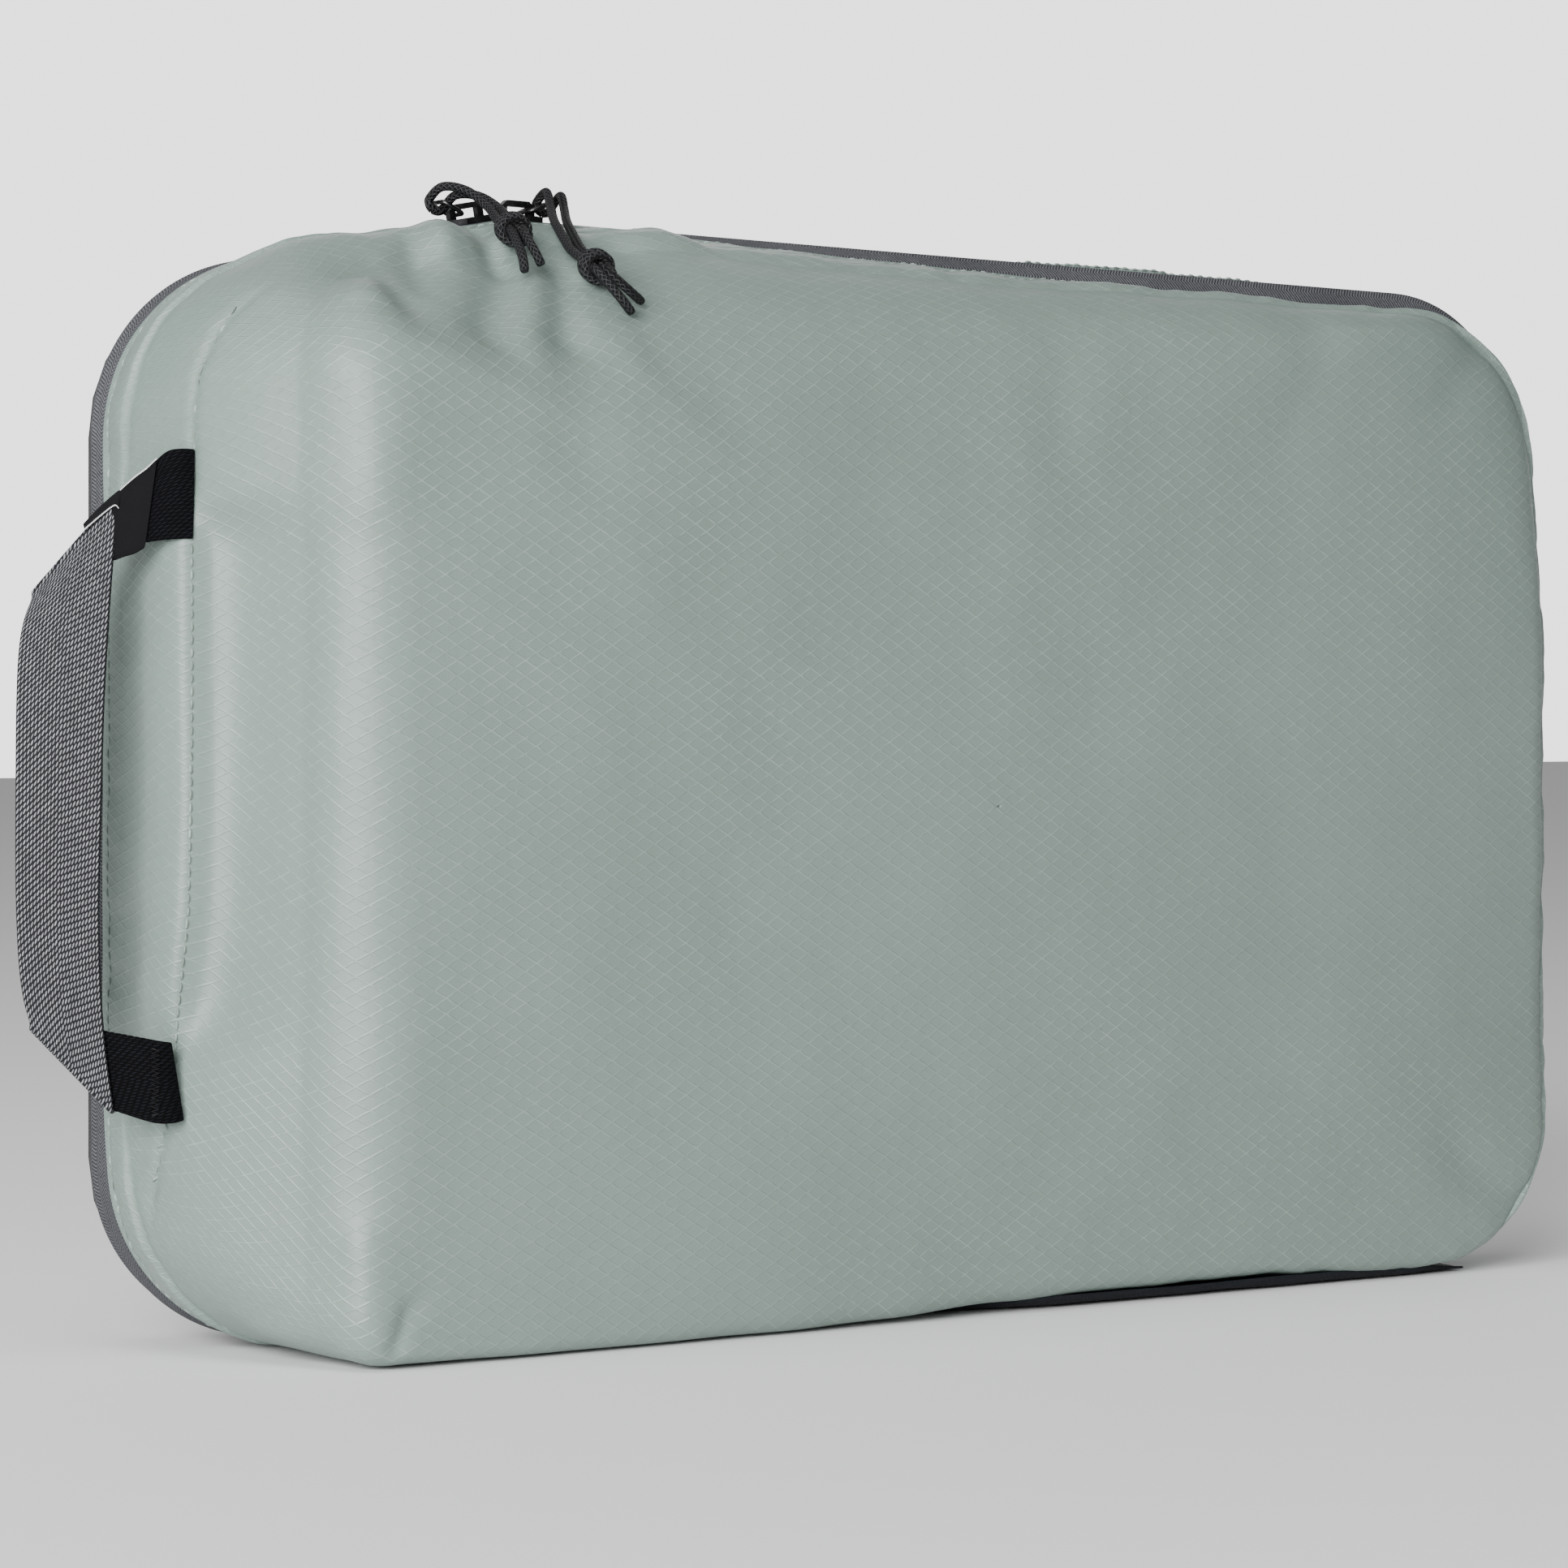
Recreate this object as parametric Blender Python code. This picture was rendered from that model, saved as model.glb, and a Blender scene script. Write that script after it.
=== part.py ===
"""A zipped packing cube of light ripstop, standing on its long side.

Frame: +X runs along the long side away from the carry handle, the deep front
panel faces -Y, the zipped lid faces +Y, and +Z is up. Metres throughout. The
origin is the bottom centre of the whole piece.
"""
import math

import bmesh
import bpy
from mathutils import Matrix, Vector

# ---- driving dimensions ---------------------------------------------------
LENGTH = 0.398            # zip outline, end to end
CREST_X = -0.0980         # where the two sliders meet, the highest point
CREST_Z = 0.2615
HANDLE_END_Z = 0.243      # height of the outline's handle-end top corner
FAR_END_Z = 0.251         # height of the outline's far top corner
LEFT_RADIUS = 0.042       # outline corners at the handle end
RIGHT_RADIUS = 0.038      # outline corners at the far end
CREST_RADIUS = 0.006

DEPTH_NEAR = 0.076        # front panel to zip line at the handle end
DEPTH_FAR = 0.020         # the same at the far end
NEAR_X = -0.168           # upright front edge at the handle end
FAR_X = 0.197             # upright front edge at the far end
FRONT_TOP_NEAR_Z = 0.2345
FRONT_TOP_CREST_Z = 0.2350
FRONT_TOP_FAR_Z = 0.2480
END_ROUND = 0.020         # rounding of the upright edge by the handle
TOP_ROUND = 0.044         # soft shoulder above the front panel
BASE_ROUND = 0.007        # rounding along the base
FACE_BULGE = 0.005        # stuffed front panel
END_BULGE = 0.005         # stuffed handle end
TOP_BULGE = 0.0005

WALL = 0.002              # fabric walls
GAP = 0.0003              # clearance between touching pieces
FABRIC_EDGE_Y = 0.009     # fabric edges either side of the zip line
SEAM_SHARE = 0.55         # handle seam, as a share of the end wall
SEAM_HALF_SHARE = 0.008   # half of the gap at the seam, as the same share
HEM_SHARE = 0.05          # where the seam runs out, beside the zip
SEAM_EASE = 1.4           # corner arcs over which it runs out
FACE_MIDDLE = (0.010, 0.122)
LID_MIDDLE = (0.0, 0.125)
LID_DEPTH = 0.0155
LID_ROUND = 0.005
LID_BULGE = 0.003
LID_LIFT = 0.0014         # the lid clears the ground by this much
LIFT_HEIGHT = 0.060       # and the lift has gone at this height

TAPE_INSET = 0.0006
TAPE_THICK = 0.0012
TAPE_SLIT_Y = 0.0009      # half of the slit between the tapes
COIL_SIZE = 0.0022
BINDING_THICK = 0.0010
BINDING_Y = 0.0036
ZIP_END_RUN = 0.008       # how far the zip runs on along the base
STOP_LENGTH = 0.0034

HINGE_Y = 0.0060          # lid hinge line
HINGE_Z = 0.0007
STRIP_THICK = 0.0012

SLIDER_LENGTH = 0.0118
SLIDER_WIDTH = 0.0086
SLIDER_PLATE = 0.0014
SLIDER_GAP = 0.0004
SLIDER_OFFSET = 0.0066    # each slider's centre, from the crest
BRIDGE_LENGTH = 0.0088
BRIDGE_WIDTH = 0.0024
BRIDGE_HEIGHT = 0.0036
EYE_LENGTH = 0.0058
EYE_HEIGHT = 0.0022
BAIL_WIRE = 0.0006        # wire radius
BAIL_LENGTH = 0.0058
BAIL_WIDTH = 0.0074
BAIL_CORNER = 0.0013
BAIL_RISE = {-1: math.radians(38), 1: math.radians(22)}
BAIL_PIVOT_X = 0.0021     # from the slider's middle, away from the crest
CORD_RADIUS = 0.0011

STRAP_WIDTH = 0.020
STRAP_THICK = 0.0016
STRAP_MID_Z = 0.1280      # halfway between the two sewn ends
LABEL_THICK = 0.0006
LABEL_GAP = 0.0006        # the sleeve is loose round the folding strap
STRAP_STEPS = 4           # sections between the strap's route points

# The frame's origin, measured from the middle of the zip outline's base.
CENTRE_X = -0.0124
CENTRE_Y = -0.0275

ARC_STEPS = 6
SIDE_STEPS = (5, 3, 9, 5, 10)

# ---- colours --------------------------------------------------------------
SAGE = (0.30, 0.36, 0.33, 1.0)
TAPE_GREY = (0.10, 0.10, 0.11, 1.0)
NEAR_BLACK = (0.012, 0.013, 0.017, 1.0)
STRIP_BLACK = (0.008, 0.010, 0.016, 1.0)
WEBBING_GREY = (0.16, 0.165, 0.18, 1.0)
GUNMETAL = (0.06, 0.06, 0.065, 1.0)


def clear_scene():
    for obj in list(bpy.data.objects):
        bpy.data.objects.remove(obj, do_unlink=True)


def material(name, colour, roughness, metallic=0.0):
    mat = bpy.data.materials.new(name)
    mat.use_nodes = True
    shader = mat.node_tree.nodes["Principled BSDF"]
    shader.inputs["Base Color"].default_value = colour
    shader.inputs["Roughness"].default_value = roughness
    shader.inputs["Metallic"].default_value = metallic
    return mat


def new_object(name, mesh, colour, roughness=0.7, metallic=0.0, pivot=(0, 0, 0)):
    """A node, given in the body frame, with its origin moved to the pivot."""
    pivot = Vector(pivot)
    mesh.transform(Matrix.Translation(-pivot))
    obj = bpy.data.objects.new(name, mesh)
    obj.data.materials.append(material(name, colour, roughness, metallic))
    obj.location = pivot - Vector((CENTRE_X, CENTRE_Y, 0.0))
    bpy.context.scene.collection.objects.link(obj)
    return obj


def mesh_from(name, verts, faces):
    mesh = bpy.data.meshes.new(name)
    bm = bmesh.new()
    corners = [bm.verts.new(v) for v in verts]
    for face in faces:
        bm.faces.new([corners[i] for i in face])
    bmesh.ops.recalc_face_normals(bm, faces=bm.faces)
    bm.to_mesh(mesh)
    bm.free()
    return mesh


# ---- outlines in the XZ plane ----------------------------------------------
def rounded_outline(corners):
    """Points around a polygon of (x, z, radius) corners with round corners."""
    count = len(corners)
    arcs = []
    for i, (x, z, radius) in enumerate(corners):
        corner = Vector((x, z))
        back = (Vector(corners[i - 1][:2]) - corner).normalized()
        ahead = (Vector(corners[(i + 1) % count][:2]) - corner).normalized()
        half = back.angle(ahead) / 2
        reach = radius / math.tan(half)
        centre = corner + (back + ahead).normalized() * (radius / math.sin(half))
        start = corner + back * reach - centre
        sweep = math.copysign(math.pi - 2 * half, back.cross(ahead))
        arc = []
        for k in range(ARC_STEPS + 1):
            turn = Matrix.Rotation(-sweep * k / ARC_STEPS, 2)
            arc.append(centre + turn @ start)
        arcs.append(arc)
    points = []
    for i, arc in enumerate(arcs):
        points.extend(arc)
        end, following = arc[-1], arcs[(i + 1) % count][0]
        for k in range(1, SIDE_STEPS[i]):
            points.append(end.lerp(following, k / SIDE_STEPS[i]))
    return points


def outward_normals(points):
    count = len(points)
    normals = []
    for i in range(count):
        along = points[(i + 1) % count] - points[i - 1]
        normals.append(Vector((-along.y, along.x)).normalized())
    return normals


def zip_outline():
    half = LENGTH / 2
    return rounded_outline([
        (-half, 0.0, LEFT_RADIUS),
        (-half, HANDLE_END_Z, LEFT_RADIUS),
        (CREST_X, CREST_Z, CREST_RADIUS),
        (half, FAR_END_Z, RIGHT_RADIUS),
        (half, 0.0, RIGHT_RADIUS),
    ])


def front_outline():
    return rounded_outline([
        (NEAR_X, 0.0, 0.010),
        (NEAR_X, FRONT_TOP_NEAR_Z, 0.014),
        (CREST_X, FRONT_TOP_CREST_Z, CREST_RADIUS),
        (FAR_X, FRONT_TOP_FAR_Z, 0.034),
        (FAR_X, 0.0, 0.034),
    ])


def depth_at(x):
    share = (x - NEAR_X) / (FAR_X - NEAR_X)
    return DEPTH_NEAR + (DEPTH_FAR - DEPTH_NEAR) * share


def smooth(value):
    value = min(max(value, 0.0), 1.0)
    return value * value * (3 - 2 * value)


def raised(point, lift):
    """A point of the outline, lifted if it is near the ground."""
    return Vector((point.x, point.y + lift * (1 - smooth(point.y / LIFT_HEIGHT))))


# ---- fabric walls -----------------------------------------------------------
def thick_patch(name, rings, closed, thickness=WALL):
    """A closed sheet of even thickness behind a grid of outer points.

    A last ring with one point closes the sheet over like a dome.
    """
    dome = len(rings[-1]) == 1
    width = len(rings[0])
    outer, faces = [], []
    for ring in rings:
        outer.extend(ring)
    full = len(rings) - 1 if dome else len(rings)
    spans = width if closed else width - 1
    for j in range(full - 1):
        for i in range(spans):
            k = (i + 1) % width
            a, b = j * width, (j + 1) * width
            faces.append((a + i, b + i, b + k, a + k))
    if dome:
        top, last = len(outer) - 1, (full - 1) * width
        for i in range(spans):
            faces.append((last + i, top, last + (i + 1) % width))
    normals = [Vector((0, 0, 0)) for _ in outer]
    for face in faces:
        a, b, c = (outer[i] for i in face[:3])
        normal = (b - a).cross(c - a)
        if len(face) == 4:
            normal += (c - a).cross(outer[face[3]] - a)
        for i in face:
            normals[i] += normal
    inner = []
    for point, normal in zip(outer, normals):
        if abs(abs(point.y) - FABRIC_EDGE_Y) < 1e-6:
            normal.y = 0.0
        inner.append(point - normal.normalized() * thickness)
    base = len(outer)
    faces += [tuple(base + i for i in reversed(face)) for face in faces]
    rims = [list(range(width))]
    if not dome:
        rims.append([(full - 1) * width + i for i in range(width)])
    for rim in rims:
        for i in range(spans):
            a, b = rim[i], rim[(i + 1) % width]
            faces.append((a, b, base + b, base + a))
    if not closed:
        for column in (0, width - 1):
            for j in range(full - 1):
                a, b = j * width + column, (j + 1) * width + column
                faces.append((a, b, base + b, base + a))
    return mesh_from(name, outer + inner, faces)


def left_share(index):
    """1 on the handle end's wall, easing to 0 past its two corners."""
    last = 2 * ARC_STEPS + SIDE_STEPS[0] + 1
    if index > last:
        return 0.0
    return smooth(min(index, last - index) / (ARC_STEPS * SEAM_EASE))


def body_rings(seam_shift):
    """Rings from the zip edge, past the handle seam, to the front's middle."""
    rear, front = zip_outline(), front_outline()
    outward = outward_normals(rear)
    middle = Vector(FACE_MIDDLE)
    columns = []
    for i, (r, f) in enumerate(zip(rear, front)):
        depth = depth_at(f.x)
        start = Vector((r.x, -FABRIC_EDGE_Y, r.y))
        edge = Vector((f.x, -depth, f.y))
        inward = (middle - f).normalized()
        upness = max(outward[i].y, 0.0)
        downness = max(-outward[i].y, 0.0)
        leftness = max(-outward[i].x, 0.0)
        radius = BASE_ROUND * (1 - upness) + TOP_ROUND * upness
        radius = radius * (1 - leftness) + END_ROUND * leftness
        wall_length = (edge - start).length
        wall_round = min(radius, 0.75 * wall_length)
        face_round = min(radius, 0.9 * depth)
        bulge = END_BULGE * leftness * (1 - downness) + TOP_BULGE * upness
        push = Vector((outward[i].x, 0, outward[i].y)) * bulge
        wall_end = edge + (start - edge).normalized() * wall_round
        face_start = f + inward * face_round
        face_edge = Vector((face_start.x, -depth_at(face_start.x), face_start.y))
        seam = HEM_SHARE + (SEAM_SHARE - HEM_SHARE) * left_share(i) + seam_shift
        column = []
        for share in (0.0, seam, (1 + seam) / 2):
            column.append(start.lerp(wall_end, share) + push * math.sin(math.pi * share))
        for k in range(5):
            t = k / 4
            low = wall_end.lerp(edge, t)
            high = edge.lerp(face_edge, t)
            column.append(low.lerp(high, t))
        for share in (0.75, 0.5, 0.25):
            flat = middle.lerp(face_start, share)
            y = -depth_at(flat.x) - FACE_BULGE * (1 - share * share)
            column.append(Vector((flat.x, y, flat.y)))
        columns.append(column)
    rings = [[column[j] for column in columns] for j in range(len(columns[0]))]
    rings.append([Vector((middle.x, -depth_at(middle.x) - FACE_BULGE, middle.y))])
    return rings


def build_body_fabric():
    last = 2 * ARC_STEPS + SIDE_STEPS[0] + 1
    rings = body_rings(SEAM_HALF_SHARE)
    # Beside the strip of fabric at the handle end, the panel starts at the
    # seam; everywhere else it starts at the zip.
    for i in range(len(rings[0])):
        if 0 < i < last:
            rings[0][i] = rings[1][i]
            rings[1][i] = rings[1][i].lerp(rings[2][i], 0.5)
    panel = thick_patch("front_panel", rings, closed=True)
    new_object("front_panel", panel, SAGE, 0.55)

    strip = body_rings(-SEAM_HALF_SHARE)
    grid = []
    for share in (0.0, 0.5, 1.0):
        grid.append([strip[0][i].lerp(strip[1][i], share) for i in range(1, last)])
    gusset = thick_patch("end_gusset", grid, closed=False)
    new_object("end_gusset", gusset, SAGE, 0.55)


def build_lid_fabric(pivot):
    middle = Vector(LID_MIDDLE)
    columns = []
    for point in zip_outline():
        point = raised(point, LID_LIFT)
        inward = (middle - point).normalized()
        start = Vector((point.x, FABRIC_EDGE_Y, point.y))
        wall_end = Vector((point.x, LID_DEPTH - LID_ROUND, point.y))
        edge = Vector((point.x, LID_DEPTH, point.y))
        flat = point + inward * LID_ROUND
        face_edge = Vector((flat.x, LID_DEPTH, flat.y))
        column = [start]
        for k in range(4):
            t = k / 3
            column.append(wall_end.lerp(edge, t).lerp(edge.lerp(face_edge, t), t))
        for share in (0.7, 0.35):
            spot = middle.lerp(flat, share)
            y = LID_DEPTH + LID_BULGE * (1 - share * share)
            column.append(Vector((spot.x, y, spot.y)))
        columns.append(column)
    rings = [[column[j] for column in reversed(columns)] for j in range(len(columns[0]))]
    rings.append([Vector((middle.x, LID_DEPTH + LID_BULGE, middle.y))])
    mesh = thick_patch("lid_panel", rings, closed=True)
    new_object("lid_panel", mesh, SAGE, 0.55, pivot=pivot)


# ---- the zip ----------------------------------------------------------------
def zip_path(inset, lift=0.0, run=ZIP_END_RUN):
    """The zip's way round: up the handle end, over the top, down the far end."""
    outline = zip_outline()
    outward = outward_normals(outline)
    used = 5 * (ARC_STEPS + 1) + sum(SIDE_STEPS[:4]) - 4
    points = [p - n * inset for p, n in zip(outline[:used], outward[:used])]
    first, last = points[0], points[-1]
    points[0] = Vector((first.x, inset))
    points[-1] = Vector((last.x, inset))
    points.insert(0, Vector((first.x + run, inset)))
    points.append(Vector((last.x - run, inset)))
    return [raised(point, lift) for point in points]


def band(name, outer_path, inner_path, y_low, y_high):
    """A flat band between two paths, from y_low to y_high."""
    verts, faces = [], []
    for out, inn in zip(outer_path, inner_path):
        for point, y in ((out, y_low), (out, y_high), (inn, y_high), (inn, y_low)):
            verts.append((point.x, y, point.y))
    for i in range(len(outer_path) - 1):
        a, b = 4 * i, 4 * (i + 1)
        for k in range(4):
            m = (k + 1) % 4
            faces.append((a + k, a + m, b + m, b + k))
    end = 4 * (len(outer_path) - 1)
    faces.append((3, 2, 1, 0))
    faces.append((end, end + 1, end + 2, end + 3))
    return mesh_from(name, verts, faces)


def box_mesh(name, low, high):
    x0, y0, z0 = low
    x1, y1, z1 = high
    verts = [(x, y, z) for x in (x0, x1) for y in (y0, y1) for z in (z0, z1)]
    faces = [(0, 1, 3, 2), (4, 6, 7, 5), (0, 4, 5, 1), (2, 3, 7, 6), (0, 2, 6, 4), (1, 5, 7, 3)]
    return mesh_from(name, verts, faces)


def build_zip_side(side, prefix, lift, pivot):
    """One half of the zip: side is -1 on the body and +1 on the lid."""
    def span(near, far):
        low, high = sorted((side * near, side * far))
        return low, high

    under = TAPE_INSET + TAPE_THICK
    low, high = span(TAPE_SLIT_Y, FABRIC_EDGE_Y - GAP)
    tape = band(prefix + "_zip_tape", zip_path(TAPE_INSET, lift), zip_path(under, lift), low, high)
    new_object(prefix + "_zip_tape", tape, TAPE_GREY, 0.8, pivot=pivot)

    coil_top = under + GAP
    coil_run = ZIP_END_RUN - STOP_LENGTH - GAP
    low, high = span(TAPE_SLIT_Y, TAPE_SLIT_Y + COIL_SIZE)
    coil = band(prefix + "_zip_coil", zip_path(coil_top, lift, coil_run),
                zip_path(coil_top + COIL_SIZE, lift, coil_run), low, high)
    new_object(prefix + "_zip_coil", coil, NEAR_BLACK, 0.4, pivot=pivot)

    path = zip_path(coil_top, lift)
    for end, towards, place in ((path[0], -1, "near"), (path[-1], 1, "far")):
        name = prefix + "_zip_stop_" + place
        x_low, x_high = sorted((end.x, end.x + towards * STOP_LENGTH))
        stop = box_mesh(name, (x_low, low, end.y), (x_high, high, end.y + COIL_SIZE))
        new_object(name, stop, GUNMETAL, 0.3, 1.0, pivot)

    low, high = span(BINDING_Y, FABRIC_EDGE_Y - GAP)
    binding = band(prefix + "_seam_binding", zip_path(coil_top, lift),
                   zip_path(coil_top + BINDING_THICK, lift), low, high)
    new_object(prefix + "_seam_binding", binding, NEAR_BLACK, 0.8, pivot=pivot)


def build_hinge_strip():
    path = zip_path(0.0)
    low = (path[0].x + GAP, -FABRIC_EDGE_Y + GAP, GAP)
    high = (path[-1].x - GAP, HINGE_Y - GAP, GAP + STRIP_THICK)
    new_object("hinge_strip", box_mesh("hinge_strip", low, high), STRIP_BLACK, 0.8)


# ---- sliders and their pulls ------------------------------------------------
def top_line(side):
    """The straight run of zip on one side of the crest: its start and heading."""
    crest = Vector((CREST_X, 0.0, CREST_Z))
    if side < 0:
        far = Vector((-LENGTH / 2, 0.0, HANDLE_END_Z))
    else:
        far = Vector((LENGTH / 2, 0.0, FAR_END_Z))
    heading = (far - crest).normalized()
    return crest, heading


def slider_frame(side):
    """A slider's own axes: X away from the crest, Z out of the zip."""
    crest, heading = top_line(side)
    across = Vector((0, 1, 0)) * side
    up = heading.cross(across)
    centre = crest + heading * SLIDER_OFFSET
    centre -= up * TAPE_INSET
    frame = Matrix((heading, across, up)).transposed().to_4x4()
    frame.translation = centre
    return frame


def plate_outline(length, width):
    """A slider plate: square at the nose, narrowing to the tail."""
    half, tail = length / 2, width * 0.31
    return [(-half, -width / 2), (half * 0.3, -width / 2), (half, -tail),
            (half, tail), (half * 0.3, width / 2), (-half, width / 2)]


def prism(name, outline, z_low, z_high):
    count = len(outline)
    verts = [(x, y, z_low) for x, y in outline] + [(x, y, z_high) for x, y in outline]
    faces = [tuple(reversed(range(count))), tuple(range(count, 2 * count))]
    for i in range(count):
        k = (i + 1) % count
        faces.append((i, k, count + k, count + i))
    return mesh_from(name, verts, faces)


def union(name, meshes):
    """The meshes as one body, through Boolean unions."""
    base = bpy.data.objects.new("base", meshes[0])
    bpy.context.scene.collection.objects.link(base)
    cutters = []
    for mesh in meshes[1:]:
        tool = bpy.data.objects.new("tool", mesh)
        bpy.context.scene.collection.objects.link(tool)
        modifier = base.modifiers.new("join", "BOOLEAN")
        modifier.operation = "UNION"
        modifier.solver = "EXACT"
        modifier.object = tool
        cutters.append(tool)
    bpy.context.view_layer.update()
    evaluated = base.evaluated_get(bpy.context.evaluated_depsgraph_get())
    result = bpy.data.meshes.new_from_object(evaluated)
    result.name = name
    for obj in cutters + [base]:
        bpy.data.objects.remove(obj, do_unlink=True)
    return result


def slider_mesh(name):
    top_low = SLIDER_GAP
    top_high = top_low + SLIDER_PLATE
    base_high = -(TAPE_THICK + GAP + COIL_SIZE + SLIDER_GAP)
    base_low = base_high - SLIDER_PLATE
    top = prism("top", plate_outline(SLIDER_LENGTH, SLIDER_WIDTH), top_low, top_high)
    base = prism("base", plate_outline(SLIDER_LENGTH * 0.94, SLIDER_WIDTH * 0.92), base_low, base_high)
    nose = -SLIDER_LENGTH / 2
    neck_half = TAPE_SLIT_Y - SLIDER_GAP
    overlap = SLIDER_PLATE / 2
    neck = box_mesh("neck", (nose + 0.0009, -neck_half, base_high - overlap),
                    (nose + 0.0039, neck_half, top_low + overlap))
    outer, inner = BRIDGE_LENGTH / 2, EYE_LENGTH / 2
    crown, eye = top_high + BRIDGE_HEIGHT, top_high + EYE_HEIGHT
    arch = [(-outer, top_high - overlap), (-outer, eye), (-inner, crown), (inner, crown),
            (outer, eye), (outer, top_high - overlap), (inner, top_high - overlap),
            (inner, eye), (-inner, eye), (-inner, top_high - overlap)]
    bridge = prism("bridge", [(x, -z) for x, z in arch], -BRIDGE_WIDTH / 2, BRIDGE_WIDTH / 2)
    bridge.transform(Matrix.Rotation(math.radians(-90), 4, "X"))
    return union(name, [top, base, neck, bridge])


def bail_axis(side):
    """The bail's pivot, inside the slider's bridge."""
    local = Vector((BAIL_PIVOT_X, 0.0, SLIDER_GAP + SLIDER_PLATE + EYE_HEIGHT / 2))
    return slider_frame(side) @ local


def ring_sweep(name, centres, sides, radius, axis):
    """A closed wire along a loop of points that lies square to the axis."""
    count = len(centres)
    verts, faces = [], []
    for i, centre in enumerate(centres):
        along = (centres[(i + 1) % count] - centres[i - 1]).normalized()
        out = along.cross(axis)
        for k in range(sides):
            turn = 2 * math.pi * (k + 0.5) / sides
            verts.append(centre + out * (radius * math.cos(turn)) + axis * (radius * math.sin(turn)))
    for i in range(count):
        j = (i + 1) % count
        for k in range(sides):
            m = (k + 1) % sides
            faces.append((i * sides + k, j * sides + k, j * sides + m, i * sides + m))
    return mesh_from(name, verts, faces)


def bail_loop():
    """Centre line of the bail in its own plane: X along it, Y across it."""
    half, corner = BAIL_WIDTH / 2, BAIL_CORNER
    points = []
    for x, y, start in ((BAIL_LENGTH - corner, half - corner, 0), (corner, half - corner, 90),
                        (corner, corner - half, 180), (BAIL_LENGTH - corner, corner - half, 270)):
        for k in range(4):
            turn = math.radians(start + 30 * k)
            points.append(Vector((x + corner * math.cos(turn), y + corner * math.sin(turn), 0)))
    return points


def bail_frame(side):
    frame = slider_frame(side).to_3x3().to_4x4()
    tilt = Matrix.Rotation(-BAIL_RISE[side], 4, "Y")
    return Matrix.Translation(bail_axis(side)) @ frame @ tilt


# ---- pull cords ---------------------------------------------------------------
# Each pull's route, measured from its bail's far bar: X along the zip away from
# the handle, Y towards the lid, Z up. It ends where the knot begins. Each pull's
# two tails are measured from the knot's lower end.
LEFT_ROUTE = (
    (0.0016, -0.0034, 0.0026), (0.0054, -0.0082, 0.0018), (0.0080, -0.0138, -0.0018),
    (0.0072, -0.0204, -0.0052), (0.0061, -0.0257, -0.0068),
)
LEFT_TAILS = ((-0.0034, -0.0100, -0.0094), (0.0023, -0.0072, -0.0076))
RIGHT_ROUTE = (
    (0.0005, -0.0038, 0.0023), (-0.0012, -0.0092, -0.0014), (-0.0041, -0.0164, -0.0050),
    (-0.0061, -0.0234, -0.0083), (-0.0081, -0.0325, -0.0130), (-0.0089, -0.0410, -0.0162),
)
RIGHT_TAILS = ((0.0055, -0.0034, -0.0093), (0.0098, 0.0000, -0.0064))
KNOT_LENGTH = 0.0084
KNOT_RADIUS = 0.0042
STRAND_SPACING = 0.0026
BIGHT_RADIUS = 0.0021


def smooth_curve(points, steps):
    """Points along a smooth curve through the given ones."""
    ends = [points[0] * 2 - points[1]] + list(points) + [points[-1] * 2 - points[-2]]
    curve = []
    for i in range(1, len(ends) - 2):
        a, b, c, d = ends[i - 1:i + 3]
        for k in range(steps):
            t = k / steps
            curve.append(0.5 * (2 * b + (c - a) * t + (2 * a - 5 * b + 4 * c - d) * t * t
                                + (3 * b - a - 3 * c + d) * t ** 3))
    curve.append(ends[-2])
    return curve


def cord_object(name, route, pivot):
    """A length of round cord along a route."""
    data = bpy.data.curves.new(name, "CURVE")
    data.dimensions = "3D"
    data.bevel_depth = CORD_RADIUS
    data.bevel_resolution = 2
    data.use_fill_caps = True
    spline = data.splines.new("POLY")
    spline.points.add(len(route) - 1)
    for slot, point in zip(spline.points, route):
        slot.co = (*(point - pivot), 1.0)
    data.materials.append(material(name, NEAR_BLACK, 0.85))
    obj = bpy.data.objects.new(name, data)
    obj.location = pivot - Vector((CENTRE_X, CENTRE_Y, 0.0))
    bpy.context.scene.collection.objects.link(obj)


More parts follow.
